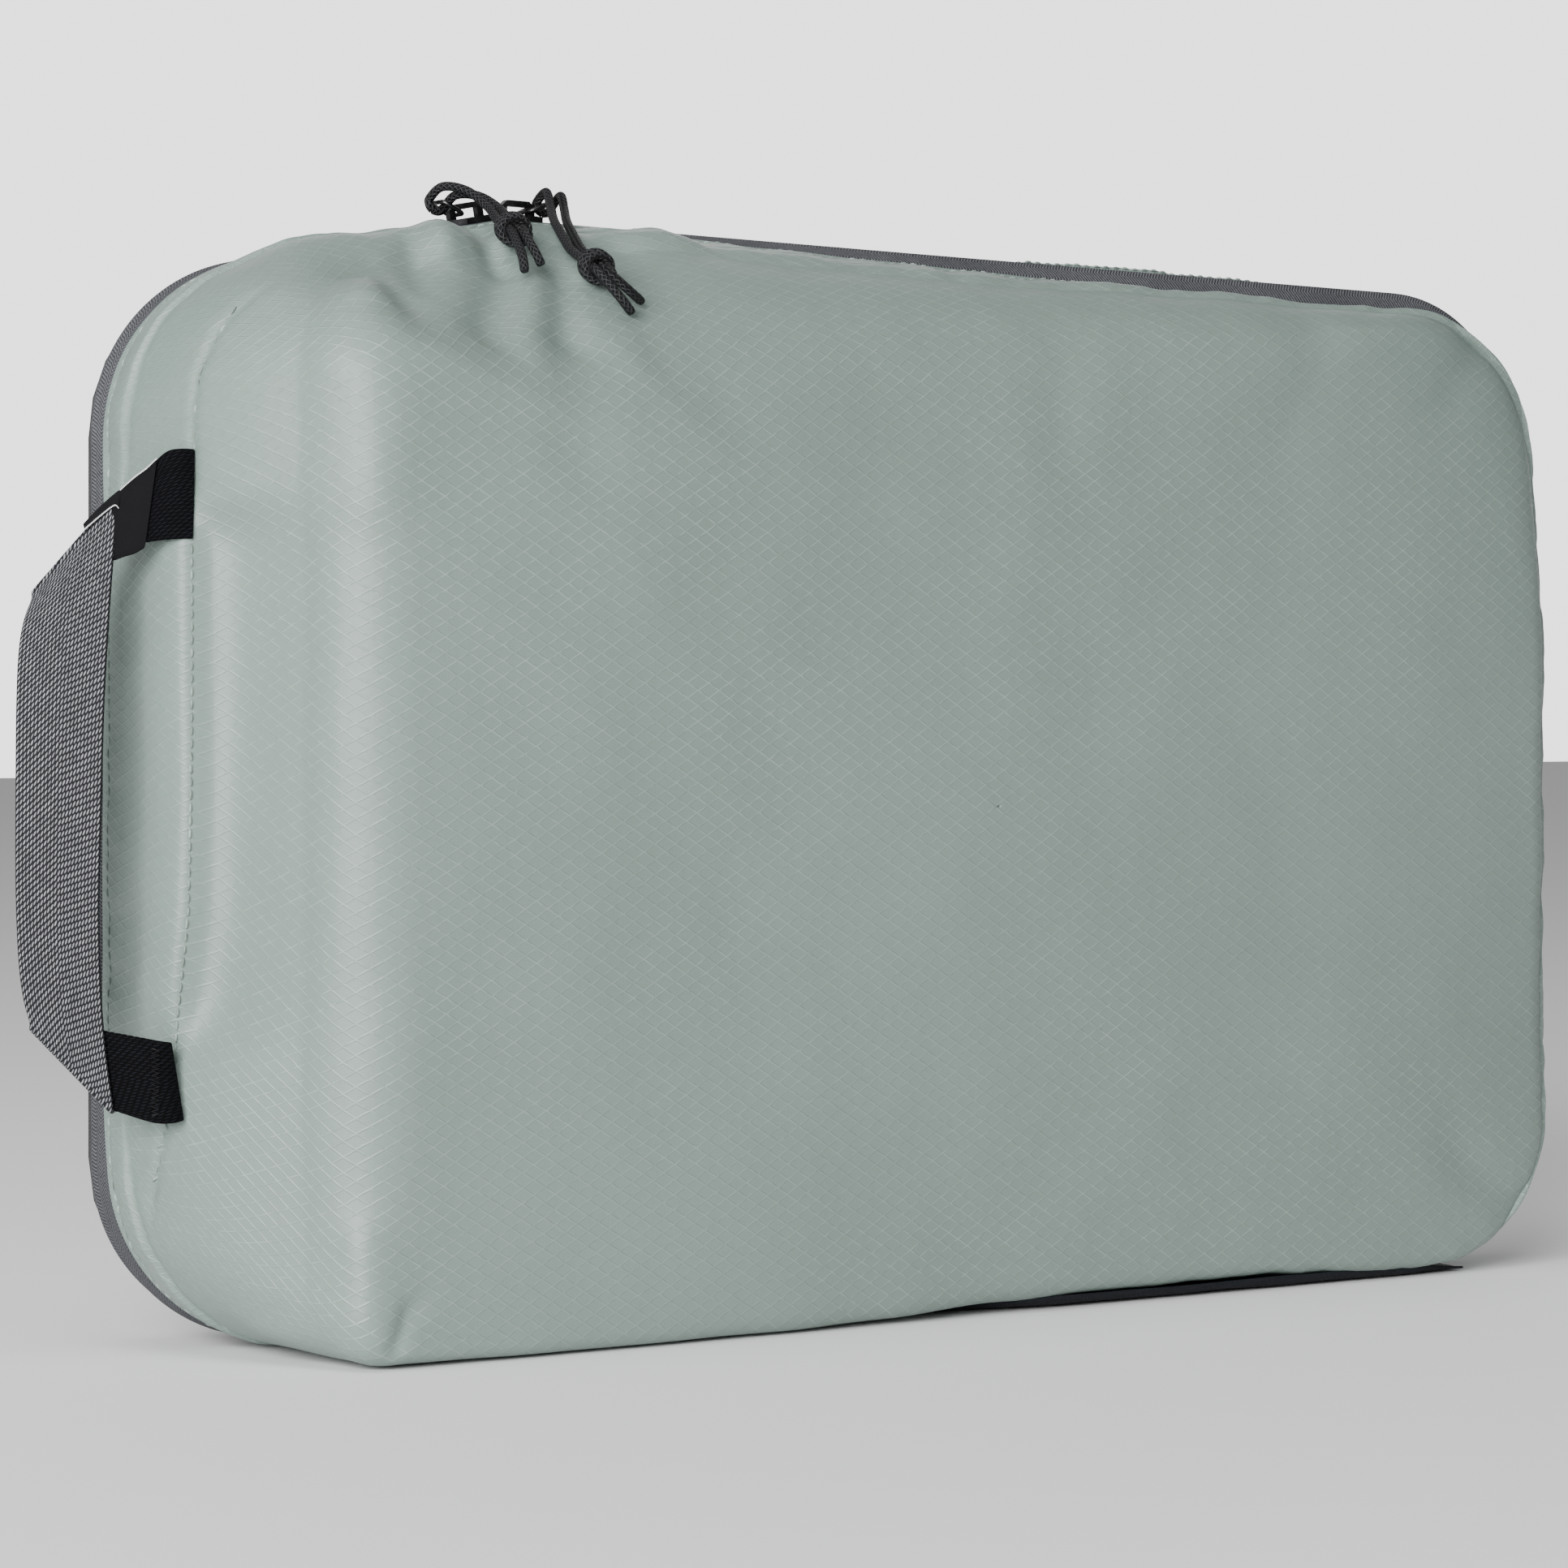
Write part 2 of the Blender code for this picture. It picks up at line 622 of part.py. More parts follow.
def build_pull(side, prefix):
    pivot = bail_axis(side)
    frame = bail_frame(side)
    axis = (slider_frame(side).to_3x3() @ Vector((0, 1, 0))).normalized()
    normal = frame.to_3x3() @ Vector((0, 0, 1))
    loop = [frame @ point for point in bail_loop()]
    bail = ring_sweep(prefix + "_bail", loop, 6, BAIL_WIRE, normal)
    new_object(prefix + "_bail", bail, GUNMETAL, 0.3, 1.0, pivot)

    bar = frame @ Vector((BAIL_LENGTH, 0, 0))
    route, tails = (LEFT_ROUTE, LEFT_TAILS) if side < 0 else (RIGHT_ROUTE, RIGHT_TAILS)
    line = [bar + Vector(step) for step in route]
    heading = (line[-1] - line[-2]).normalized()
    beside = heading.cross(Vector((0, 0, 1))).normalized()
    knot_centre = line[-1] + heading * (GAP + KNOT_LENGTH / 2)

    # The loop: out along one strand, round the bail's far bar and back.
    leave = line[0] - bar
    leave = (leave - axis * leave.dot(axis)).normalized()
    side_step = axis.cross(leave)
    if side_step.dot(beside) < 0:
        side_step = -side_step
    strands = []
    for sign in (1, -1):
        strand = [bar + side_step * (sign * BIGHT_RADIUS)]
        for k, point in enumerate(line):
            share = (k + 1) / len(line)
            offset = side_step.lerp(beside, smooth(share)).normalized()
            spread = BIGHT_RADIUS + (STRAND_SPACING / 2 - BIGHT_RADIUS) * share
            strand.append(point + offset * (sign * spread))
        strands.append(strand)
    bight = []
    for k in range(1, 4):
        turn = math.pi * k / 4
        bight.append(bar + side_step * (BIGHT_RADIUS * math.cos(turn))
                     - leave * (BIGHT_RADIUS * math.sin(turn)))
    whole = list(reversed(strands[0])) + bight + strands[1]
    cord_object(prefix + "_pull_loop", smooth_curve(whole, 3), pivot)

    knot = bmesh.new()
    bmesh.ops.create_uvsphere(knot, u_segments=10, v_segments=6, radius=1.0)
    knot_mesh = bpy.data.meshes.new(prefix + "_pull_knot")
    knot.to_mesh(knot_mesh)
    knot.free()
    turn = Matrix((beside, heading.cross(beside), heading)).transposed().to_4x4()
    size = Matrix.Diagonal((KNOT_RADIUS, KNOT_RADIUS * 0.86, KNOT_LENGTH / 2, 1.0))
    knot_mesh.transform(Matrix.Translation(knot_centre) @ turn @ size)
    new_object(prefix + "_pull_knot", knot_mesh, NEAR_BLACK, 0.85, pivot=pivot)

    knot_end = knot_centre + heading * (KNOT_LENGTH / 2 + 2 * GAP)
    for sign, place, reach in ((1, "a", tails[0]), (-1, "b", tails[1])):
        start = knot_end + beside * (sign * STRAND_SPACING / 2)
        end = knot_end + Vector(reach)
        halfway = start.lerp(end, 0.5) + heading * (0.2 * (end - start).length)
        cord_object(prefix + "_pull_tail_" + place, smooth_curve([start, halfway, end], 3), pivot)


def build_sliders():
    for side, prefix in ((-1, "left"), (1, "right")):
        frame = slider_frame(side)
        mesh = slider_mesh(prefix + "_slider")
        mesh.transform(frame)
        new_object(prefix + "_slider", mesh, GUNMETAL, 0.3, 1.0, frame.translation)
        build_pull(side, prefix)


# ---- the carry handle ---------------------------------------------------------
# The strap from its upper sewn end to its lower one: the centre line, and the
# way one edge points, which is up at the upper end and outwards along the grip.
STRAP_ROUTE = (
    ((-0.1916, -0.0374, 0.1938), (0.00, 0.00, 1.00)),
    ((-0.1972, -0.0346, 0.1936), (0.02, -0.04, 1.00)),
    ((-0.2030, -0.0312, 0.1905), (0.10, -0.45, 0.89)),
    ((-0.2070, -0.0282, 0.1845), (0.25, -0.80, 0.55)),
    ((-0.2110, -0.0250, 0.1765), (0.50, -0.83, 0.25)),
    ((-0.2142, -0.0220, 0.1660), (0.72, -0.68, 0.07)),
    ((-0.2150, -0.0212, 0.1480), (0.82, -0.57, 0.00)),
    ((-0.2150, -0.0212, 0.1280), (0.82, -0.57, 0.00)),
    ((-0.2150, -0.0212, 0.1080), (0.82, -0.57, 0.00)),
    ((-0.2148, -0.0216, 0.0900), (0.78, -0.62, -0.03)),
    ((-0.2128, -0.0232, 0.0780), (0.58, -0.77, -0.25)),
    ((-0.2082, -0.0270, 0.0690), (0.28, -0.76, -0.60)),
    ((-0.2035, -0.0308, 0.0640), (0.10, -0.38, -0.92)),
    ((-0.1972, -0.0346, 0.0627), (0.02, -0.04, -1.00)),
    ((-0.1916, -0.0374, 0.0625), (0.00, 0.00, -1.00)),
)


def strap_stations():
    """Centre points and width directions along the whole strap."""
    centres = smooth_curve([Vector(p) for p, _ in STRAP_ROUTE], STRAP_STEPS)
    widths = smooth_curve([Vector(w) for _, w in STRAP_ROUTE], STRAP_STEPS)
    return centres, [w.normalized() for w in widths]


def strap_frames():
    centres, widths = strap_stations()
    frames = []
    for i, (centre, width) in enumerate(zip(centres, widths)):
        ahead = centres[min(i + 1, len(centres) - 1)] - centres[max(i - 1, 0)]
        face = ahead.cross(width).normalized()
        frames.append((centre, width, face))
    return frames


def strap_section(frames, low, high, half_width):
    """A solid along the frames, between two offsets from the strap's middle."""
    verts, faces = [], []
    for centre, width, face in frames:
        for across, out in ((-half_width, low), (half_width, low), (half_width, high), (-half_width, high)):
            verts.append(centre + width * across + face * out)
    for i in range(len(frames) - 1):
        a, b = 4 * i, 4 * (i + 1)
        for k in range(4):
            m = (k + 1) % 4
            faces.append((a + k, a + m, b + m, b + k))
    end = 4 * (len(frames) - 1)
    faces.append((3, 2, 1, 0))
    faces.append((end, end + 1, end + 2, end + 3))
    return verts, faces


def build_handle(pivot):
    frames = strap_frames()
    half, middle = STRAP_WIDTH / 2, STRAP_THICK / 2
    strap = mesh_from("handle_strap", *strap_section(frames, -middle, middle, half))
    new_object("handle_strap", strap, WEBBING_GREY, 0.8, pivot=pivot)

    # The label is a sleeve sewn round the strap where it turns down.
    around = frames[2 * STRAP_STEPS + 3:4 * STRAP_STEPS]
    near, far = middle + LABEL_GAP, middle + LABEL_GAP + LABEL_THICK
    verts, faces = [], []
    for centre, width, face in around:
        for reach, out in ((half + LABEL_GAP, near), (half + LABEL_GAP + LABEL_THICK, far)):
            for across, lift in ((-reach, -out), (reach, -out), (reach, out), (-reach, out)):
                verts.append(centre + width * across + face * lift)
    for i in range(len(around) - 1):
        a, b = 8 * i, 8 * (i + 1)
        for k in range(4):
            m = (k + 1) % 4
            faces.append((a + k, b + k, b + m, a + m))
            faces.append((a + 4 + k, a + 4 + m, b + 4 + m, b + 4 + k))
    for base in (0, 8 * (len(around) - 1)):
        for k in range(4):
            m = (k + 1) % 4
            faces.append((base + k, base + m, base + 4 + m, base + 4 + k))
    label = mesh_from("handle_label", verts, faces)
    new_object("handle_label", label, NEAR_BLACK, 0.5, pivot=pivot)

    for chosen, place in ((frames[1:3], "upper"), (frames[-3:-1], "lower")):
        name = "handle_bar_tack_" + place
        tack = mesh_from(name, *strap_section(chosen, -middle - 3 * GAP, -middle - GAP, half * 0.9))
        new_object(name, tack, NEAR_BLACK, 0.7, pivot=pivot)


def main():
    clear_scene()
    hinge = Vector((0.0, HINGE_Y, HINGE_Z))
    seam = Vector((-0.1918, -0.0373, STRAP_MID_Z))
    build_body_fabric()
    build_lid_fabric(hinge)
    build_zip_side(-1, "body", 0.0, (0, 0, 0))
    build_zip_side(1, "lid", LID_LIFT, hinge)
    build_hinge_strip()
    build_sliders()
    build_handle(seam)


main()
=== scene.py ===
import math

import bpy
import numpy as np
from mathutils import Matrix, Vector, noise


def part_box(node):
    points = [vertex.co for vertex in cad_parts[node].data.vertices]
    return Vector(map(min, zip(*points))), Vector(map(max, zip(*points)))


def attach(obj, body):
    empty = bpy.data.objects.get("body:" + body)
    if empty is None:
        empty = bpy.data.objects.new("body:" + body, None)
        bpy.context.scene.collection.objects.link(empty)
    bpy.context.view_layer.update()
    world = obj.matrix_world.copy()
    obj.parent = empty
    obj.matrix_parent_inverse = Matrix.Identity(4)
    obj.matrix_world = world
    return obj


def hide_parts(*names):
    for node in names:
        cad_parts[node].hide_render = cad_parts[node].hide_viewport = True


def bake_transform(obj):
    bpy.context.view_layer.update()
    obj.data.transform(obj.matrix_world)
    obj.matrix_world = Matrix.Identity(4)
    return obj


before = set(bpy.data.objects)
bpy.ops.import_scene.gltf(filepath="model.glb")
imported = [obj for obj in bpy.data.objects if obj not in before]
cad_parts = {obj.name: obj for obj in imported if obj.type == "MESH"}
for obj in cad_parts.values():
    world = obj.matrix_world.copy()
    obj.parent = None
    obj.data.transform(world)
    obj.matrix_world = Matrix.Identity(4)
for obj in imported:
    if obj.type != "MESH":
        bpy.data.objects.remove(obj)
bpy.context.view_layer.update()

# ---- the shape's driving sizes, in metres ----------------
# Shapes are made in the body frame: origin at the middle of the zip outline's
# base, in the plane of the zip. SHIFT takes them to the shared frame.
LID_LOW, LID_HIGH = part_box("lid_panel")
SHIFT = Vector((
    (LID_LOW.x + LID_HIGH.x) / 2,
    (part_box("body_zip_coil")[1].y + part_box("lid_zip_coil")[0].y) / 2,
    0.0,
))
HALF = (LID_HIGH.x - LID_LOW.x) / 2       # half the zip outline's length
CREST_X, CREST_Z = -0.0980, 0.2615        # the highest point of the zip
HANDLE_END_Z, FAR_END_Z = 0.243, 0.251
DEPTH_NEAR, DEPTH_FAR = 0.076, 0.020      # the wedge's depth at its two ends
NEAR_X, FAR_X = -0.168, 0.197             # the front face's ends
FACE_TOP_Z = 0.240

# Corners of the zip's outline and of the front face: x, z, radius.
ZIP_CORNERS = (
    (-HALF, 0.0, 0.042), (-HALF, HANDLE_END_Z, 0.042), (CREST_X, CREST_Z, 0.030),
    (HALF, FAR_END_Z, 0.038), (HALF, 0.0, 0.042),
)
FACE_CORNERS = (
    (NEAR_X, 0.0, 0.010), (NEAR_X, 0.2345, 0.014), (CREST_X, 0.2355, 0.500),
    (FAR_X, 0.2480, 0.052), (FAR_X, 0.0, 0.040),
)
ARC_STEPS = 16                            # columns round each corner
SIDE_STEPS = (80, 30, 110, 84, 140)       # columns along each side after it

GROUND = 0.0003           # the lowest that cloth may lie
LID_HEM_Y = 0.0076        # the lid's folded edge beside the zip
HEM_WIDTH = 0.010
STITCH_IN = 0.0022        # the stitch line, from the folded edge
CLOTH = 0.0004            # thickness the cloth is shown with
HEM_FOLD = 0.0005         # step at the turned-in hem's raw edge
FACE_BULGE = 0.0060
END_BULGE = 0.0052
LID_BULGE = 0.0050

TAPE_SLIT_Y = 0.0007
ZIP_END_RUN = 0.008       # the tapes' run along the base at each end
LID_TAPE_LIFT = 0.0014    # how far the lid's tape stands over the base
COIL_PITCH = 0.0014
COIL_RADIUS = 0.0011
COIL_IN = 0.0021          # the coil's outside, from the zip line

RIPSTOP_PITCH = 0.0030    # between the thick yarns of the grid
FINE_YARN = 0.00042
RIPSTOP_ANGLE = math.radians(30.5)

CORD_RADIUS = 0.0011


# ---- small tools -----------------------------------------
def in_metres(millimetres):
    return Vector([value / 1000 for value in millimetres])


def smooth(value):
    value = min(max(value, 0.0), 1.0)
    return value * value * (3 - 2 * value)


def new_object(name, data):
    obj = bpy.data.objects.new(name, data)
    bpy.context.scene.collection.objects.link(obj)
    return obj


def mesh_object(name, verts, faces, uvs=None):
    """An object in the shared frame from points in the body frame."""
    mesh = bpy.data.meshes.new(name)
    mesh.from_pydata([tuple(Vector(v) + SHIFT) for v in verts], [], faces)
    if uvs is not None:
        layer = mesh.uv_layers.new(name="cloth")
        flat = np.array(uvs, np.float32)
        corners = np.empty(len(mesh.loops), np.int32)
        mesh.loops.foreach_get("vertex_index", corners)
        layer.data.foreach_set("uv", flat[corners].ravel())
    mesh.shade_smooth()
    return new_object(name, mesh)


def grid_normals(points, closed):
    along = np.empty_like(points)
    if closed:
        along = np.roll(points, -1, 1) - np.roll(points, 1, 1)
    else:
        along[:, 1:-1] = points[:, 2:] - points[:, :-2]
        along[:, 0] = points[:, 1] - points[:, 0]
        along[:, -1] = points[:, -1] - points[:, -2]
    down = np.empty_like(points)
    down[1:-1] = points[2:] - points[:-2]
    down[0] = points[1] - points[0]
    down[-1] = points[-1] - points[-2]
    normals = np.cross(down, along)
    return normals / (np.linalg.norm(normals, axis=2, keepdims=True) + 1e-12)


def modifier(obj, kind, **settings):
    made = obj.modifiers.new(kind.lower(), kind)
    for key, value in settings.items():
        setattr(made, key, value)
    return made


def cloth_sheet(name, points, uvs, closed, thickness=CLOTH, levels=1, flip=False):
    """A sheet of cloth from rows x columns of points and UVs."""
    points, uvs = np.array(points), np.array(uvs)
    rows, cols = points.shape[:2]
    faces = []
    for j in range(rows - 1):
        for i in range(cols if closed else cols - 1):
            k = (i + 1) % cols
            face = (j * cols + i, (j + 1) * cols + i, (j + 1) * cols + k, j * cols + k)
            faces.append(face[::-1] if flip else face)
    obj = mesh_object(name, points.reshape(-1, 3), faces, uvs.reshape(-1, 2))
    modifier(obj, "SOLIDIFY", thickness=thickness, offset=-1.0)
    if levels:
        modifier(obj, "SUBSURF", levels=levels, render_levels=levels)
    return obj


def add_row(rows, uvs, place_xyz, place_uv):
    """Adds one row to a sheet's points and UVs; single numbers are spread along it."""
    rows.append(np.stack(np.broadcast_arrays(*place_xyz), 1))
    uvs.append(np.stack(np.broadcast_arrays(*place_uv), 1))


def distances(points):
    """How far along its own line each point lies, from the first one."""
    gaps = np.linalg.norm(points[1:] - points[:-1], axis=-1)
    return np.concatenate([np.zeros_like(gaps[:1]), np.cumsum(gaps, 0)])


def place(obj, body, slot, mat, replaced=()):
    obj.data.materials.clear()
    obj.data.materials.append(mat)
    if replaced:
        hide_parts(*replaced)
    if body:
        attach(obj, body)
    return obj


def smooth_curve(points, steps):
    """Points along a smooth curve through the given ones."""
    ends = [points[0] * 2 - points[1]] + list(points) + [points[-1] * 2 - points[-2]]
    curve = []
    for i in range(1, len(ends) - 2):
        a, b, c, d = ends[i - 1:i + 3]
        for k in range(steps):
            t = k / steps
            curve.append(0.5 * (2 * b + (c - a) * t + (2 * a - 5 * b + 4 * c - d) * t * t
                                + (3 * b - a - 3 * c + d) * t ** 3))
    curve.append(ends[-2])
    return curve


def tube_parts(path, radius, sides, closed=False, start_out=None):
    """Rings along a path: points, faces and UVs (metres along, share around)."""
    count = len(path)
    out = start_out
    verts, uvs, length = [], [], 0.0
    for i, centre in enumerate(path):
        if closed:
            along = path[(i + 1) % count] - path[i - 1]
        else:
            along = path[min(i + 1, count - 1)] - path[max(i - 1, 0)]
        along = along.normalized()
        if out is None:
            out = along.orthogonal()
        out = (out - along * out.dot(along)).normalized()
        across = along.cross(out)
        size = radius[i] if isinstance(radius, (list, tuple)) else radius
        if i:
            length += (centre - path[i - 1]).length
        for k in range(sides):
            turn = 2 * math.pi * k / sides
            verts.append(centre + (out * math.cos(turn) + across * math.sin(turn)) * size)
            uvs.append((length, k / sides))
    faces = []
    for i in range(count if closed else count - 1):
        j = (i + 1) % count
        for k in range(sides):
            m = (k + 1) % sides
            faces.append((i * sides + k, i * sides + m, j * sides + m, j * sides + k))
    if not closed:
        faces.append(tuple(reversed(range(sides))))
        faces.append(tuple((count - 1) * sides + k for k in range(sides)))
    return verts, faces, uvs


def join_parts(parts):
    verts, faces, uvs = [], [], []
    for part_verts, part_faces, part_uvs in parts:
        base = len(verts)
        verts += part_verts
        faces += [tuple(base + i for i in face) for face in part_faces]
        uvs += part_uvs
    return verts, faces, uvs


# ---- shader tools ----------------------------------------
class Shader:
    """A Principled material with short ways to build its node tree."""

    def __init__(self, name, colour, roughness, **sockets):
        self.mat = bpy.data.materials.new(name)
        self.mat.use_nodes = True
        self.tree = self.mat.node_tree
        self.main = self.tree.nodes["Principled BSDF"]
        self.main.inputs["Base Color"].default_value = (*colour, 1.0)
        self.main.inputs["Roughness"].default_value = roughness
        for key, value in sockets.items():
            self.main.inputs[key.replace("_", " ")].default_value = value

    def node(self, kind, **settings):
        made = self.tree.nodes.new(kind)
        for key, value in settings.items():
            setattr(made, key, value)
        return made

    def link(self, source, target):
        if isinstance(source, (int, float)):
            target.default_value = source
        else:
            self.tree.links.new(source, target)

    def math(self, operation, *values):
        made = self.node("ShaderNodeMath", operation=operation)
        for value, target in zip(values, made.inputs):
            self.link(value, target)
        return made.outputs[0]

    def times(self, first, second):
        return self.math("MULTIPLY", first, second)

    def plus(self, first, second):
        return self.math("ADD", first, second)

    def minus(self, first, second):
        return self.math("SUBTRACT", first, second)

    def larger(self, first, second):
        return self.math("MAXIMUM", first, second)

    def sine(self, value):
        return self.math("SINE", value)

    def absolute(self, value):
        return self.math("ABSOLUTE", value)

    def uv(self):
        coords = self.node("ShaderNodeUVMap", uv_map="cloth").outputs[0]
        split = self.node("ShaderNodeSeparateXYZ")
        self.link(coords, split.inputs[0])
        return split.outputs[0], split.outputs[1]

    def place(self):
        return self.node("ShaderNodeTexCoord").outputs["Object"]

    def noise(self, scale, detail=3.0, vector=None):
        made = self.node("ShaderNodeTexNoise")
        self.link(vector or self.place(), made.inputs["Vector"])
        made.inputs["Scale"].default_value = scale
        made.inputs["Detail"].default_value = detail
        return made.outputs[0]

    def ramp(self, value, low, high, to_low=0.0, to_high=1.0):
        made = self.node("ShaderNodeMapRange", interpolation_type="SMOOTHSTEP")
        for key, number in (("Value", value), ("From Min", low), ("From Max", high),
                            ("To Min", to_low), ("To Max", to_high)):
            self.link(number, made.inputs[key])
        return made.outputs[0]

    def mix(self, share, first, second):
        made = self.node("ShaderNodeMix", data_type="RGBA")
        self.link(share, made.inputs[0])
        for colour, target in ((first, made.inputs[6]), (second, made.inputs[7])):
            if isinstance(colour, tuple):
                target.default_value = (*colour, 1.0)
            else:
                self.link(colour, target)
        return made.outputs[2]

    def colour(self, source):
        self.link(source, self.main.inputs["Base Color"])

    def roughness(self, source):
        self.link(source, self.main.inputs["Roughness"])

    def bump(self, height, distance, strength=1.0):
        made = self.node("ShaderNodeBump")
        made.inputs["Distance"].default_value = distance
        made.inputs["Strength"].default_value = strength
        self.link(height, made.inputs["Height"])
        self.link(made.outputs[0], self.main.inputs["Normal"])

    def repeat(self, value, pitch):
        """The number of a repeat and the place in it, from -0.5 to 0.5."""
        scaled = self.times(value, 1 / pitch)
        number = self.math("FLOOR", scaled)
        return number, self.minus(self.math("FRACT", scaled), 0.5)

    def floats(self, along, across, pitch, end, lean):
        """Herringbone webbing: bright floats, each column a step on from the last."""
        number, side = self.repeat(self.absolute(across), end)
        step = self.times(number, lean * pitch)
        _, place = self.repeat(self.plus(along, step), pitch)
        wide = self.math("POWER", self.absolute(self.times(side, 2.0)), 2.0)
        tall = self.math("POWER", self.absolute(self.times(place, 2.6)), 2.0)
        return self.minus(1.0, self.plus(wide, tall))

    def chevrons(self, along, across, pitch, column):
        """Herringbone tape: slanting picks that turn over from column to column."""
        _, place = self.repeat(across, 2 * column)
        rise = self.times(self.absolute(place), 2 * column)
        turns = self.times(self.plus(along, rise), 2 * math.pi / pitch)
        return self.plus(self.times(self.sine(turns), 0.5), 0.5)


def ripstop_material(name, base, line, dark):
    """Coated ripstop: a diamond grid of thicker yarns in a fine weave; the grid's yarns carry a
    painted highlight in the lighter line colour.
    """
    s = Shader(name, base, 0.42, Specular_IOR_Level=0.75)
    u, v = s.uv()
    up = s.times(v, math.cos(RIPSTOP_ANGLE))
    over = s.times(u, math.sin(RIPSTOP_ANGLE))
    wobble = s.times(s.minus(s.noise(30.0, 2.0), 0.5), 0.0006)
    masks, seams = [], []
    for operation in ("SUBTRACT", "ADD"):
        across = s.plus(s.math(operation, up, over), wobble)
        _, place = s.repeat(across, RIPSTOP_PITCH)
        away = s.absolute(place)
        masks.append(s.ramp(away, 0.015, 0.075, 1.0, 0.0))
        seams.append(s.ramp(away, 0.0, 0.11, 1.0, 0.0))
    grid = s.larger(*masks)
    raised = s.larger(*seams)
    waves = []
    for operation in ("ADD", "SUBTRACT"):
        turns = s.times(s.math(operation, up, over), 2 * math.pi / FINE_YARN)
        waves.append(s.sine(turns))
    weave = s.times(*waves)
    cloudy = s.noise(11.0, 4.0)
    broken = s.ramp(s.noise(420.0, 2.0), 0.38, 0.62, 0.15, 1.0)
    patches = s.ramp(s.noise(14.0, 3.0), 0.35, 0.68, 0.50, 1.0)
    # painted highlight: the grid's yarns, broken into dashes and patches, are painted toward the
    # lighter line colour as if they catch the light
    shown = s.times(s.times(grid, broken), s.times(patches, 0.50))
    cloth = s.mix(s.ramp(cloudy, 0.3, 0.7), base, dark)
    s.colour(s.mix(shown, cloth, line))
    rough = s.ramp(cloudy, 0.3, 0.7, 0.40, 0.48)
    s.roughness(s.minus(rough, s.times(grid, 0.06)))
    crumple = s.times(s.noise(75.0, 5.0), 0.7)
    height = s.plus(s.times(raised, 0.22), s.times(weave, 0.03))
    s.bump(s.plus(height, crumple), 0.0005, 0.7)
    return s.mat


def webbing_material(name, light, dark, roughness=0.7, specular=0.25):
    """Heavy herringbone webbing, bright floats over dark ends."""
    s = Shader(name, dark, roughness, Specular_IOR_Level=specular)
    u, v = s.uv()
    jitter = s.times(s.minus(s.noise(900.0, 1.0), 0.5), 0.0002)
    height = s.floats(s.plus(u, jitter), v, 0.00145, 0.00082, 0.36)
    worn = s.ramp(s.noise(600.0, 2.0), 0.25, 0.75, 0.5, 1.0)
    s.colour(s.mix(s.times(s.ramp(height, 0.05, 0.85), worn), dark, light))
    s.bump(s.ramp(height, -0.4, 0.9), 0.00030, 0.9)
    return s.mat


def tape_material(name, light, dark, pitch=0.00075, column=0.0016, roughness=0.75):
    """Fine herringbone tape."""
    s = Shader(name, dark, roughness, Specular_IOR_Level=0.25)
    u, v = s.uv()
    picks = s.chevrons(u, v, pitch, column)
    fleck = s.ramp(s.noise(1500.0, 2.0), 0.3, 0.7)
    cloudy = s.ramp(s.noise(35.0, 2.0), 0.3, 0.7, 0.75, 1.0)
    shown = s.plus(s.times(picks, 0.8), s.times(fleck, 0.2))
    s.colour(s.mix(s.times(shown, cloudy), dark, light))
    s.bump(picks, 0.00012, 0.8)
    return s.mat


def braid_material():
    """Black braided cord: crossing yarns round the tube."""
    s = Shader("braided_cord", (0.006, 0.006, 0.007), 0.55, Specular_IOR_Level=0.30)
    u, v = s.uv()
    turns = s.times(v, 2 * math.pi * 5)
    run = s.times(u, 2 * math.pi / 0.0015)
    left = s.sine(s.plus(run, turns))
    right = s.sine(s.minus(run, turns))
    yarn = s.larger(left, right)
    s.colour(s.mix(s.ramp(yarn, 0.3, 1.0), (0.002, 0.002, 0.0025), (0.022, 0.022, 0.025)))
    s.bump(yarn, 0.00022, 0.9)
    return s.mat


def label_material(name, colour, edge, length):
    """Satin ribbon with pale cut ends."""
    s = Shader(name, colour, 0.60, Specular_IOR_Level=0.08, Anisotropic=0.5)
    u, _ = s.uv()
    from_end = s.math("MINIMUM", u, s.minus(length, u))
    fray = s.times(s.noise(1800.0, 2.0), 0.00018)
    rim = s.ramp(s.plus(from_end, fray), 0.00030, 0.00044, 1.0, 0.0)
    ribs = s.sine(s.times(u, 2 * math.pi / 0.00030))
    s.colour(s.mix(rim, colour, edge))
    s.bump(ribs, 0.00003, 0.6)
    return s.mat


def metal_material(name, colour, roughness):
    s = Shader(name, colour, roughness, Metallic=1.0)
    rub = s.noise(900.0, 3.0)
    s.roughness(s.ramp(rub, 0.3, 0.7, roughness - 0.08, roughness + 0.14))
    worn = tuple(c * 2.2 for c in colour)
    s.colour(s.mix(s.ramp(s.noise(260.0, 3.0), 0.45, 0.7), colour, worn))
    s.bump(rub, 0.00004, 0.5)
    return s.mat


def plain_weave_material(name, colour, roughness, yarn, sheen=0.1):
    """Small trims: a plain weave in object space, with slight fading."""
    s = Shader(name, colour, roughness, Sheen_Weight=sheen)
    split = s.node("ShaderNodeSeparateXYZ")
    s.link(s.place(), split.inputs[0])
    waves = [s.sine(s.times(axis, 2 * math.pi / yarn)) for axis in split.outputs]
    over_x, over_y = (s.times(wave, waves[2]) for wave in waves[:2])
    weave = s.larger(over_x, over_y)
    lighter = tuple(min(c * 1.9 + 0.004, 1.0) for c in colour)
    s.colour(s.mix(s.ramp(s.noise(240.0, 3.0), 0.4, 0.75), colour, lighter))
    s.bump(weave, yarn * 0.2, 0.6)
    return s.mat


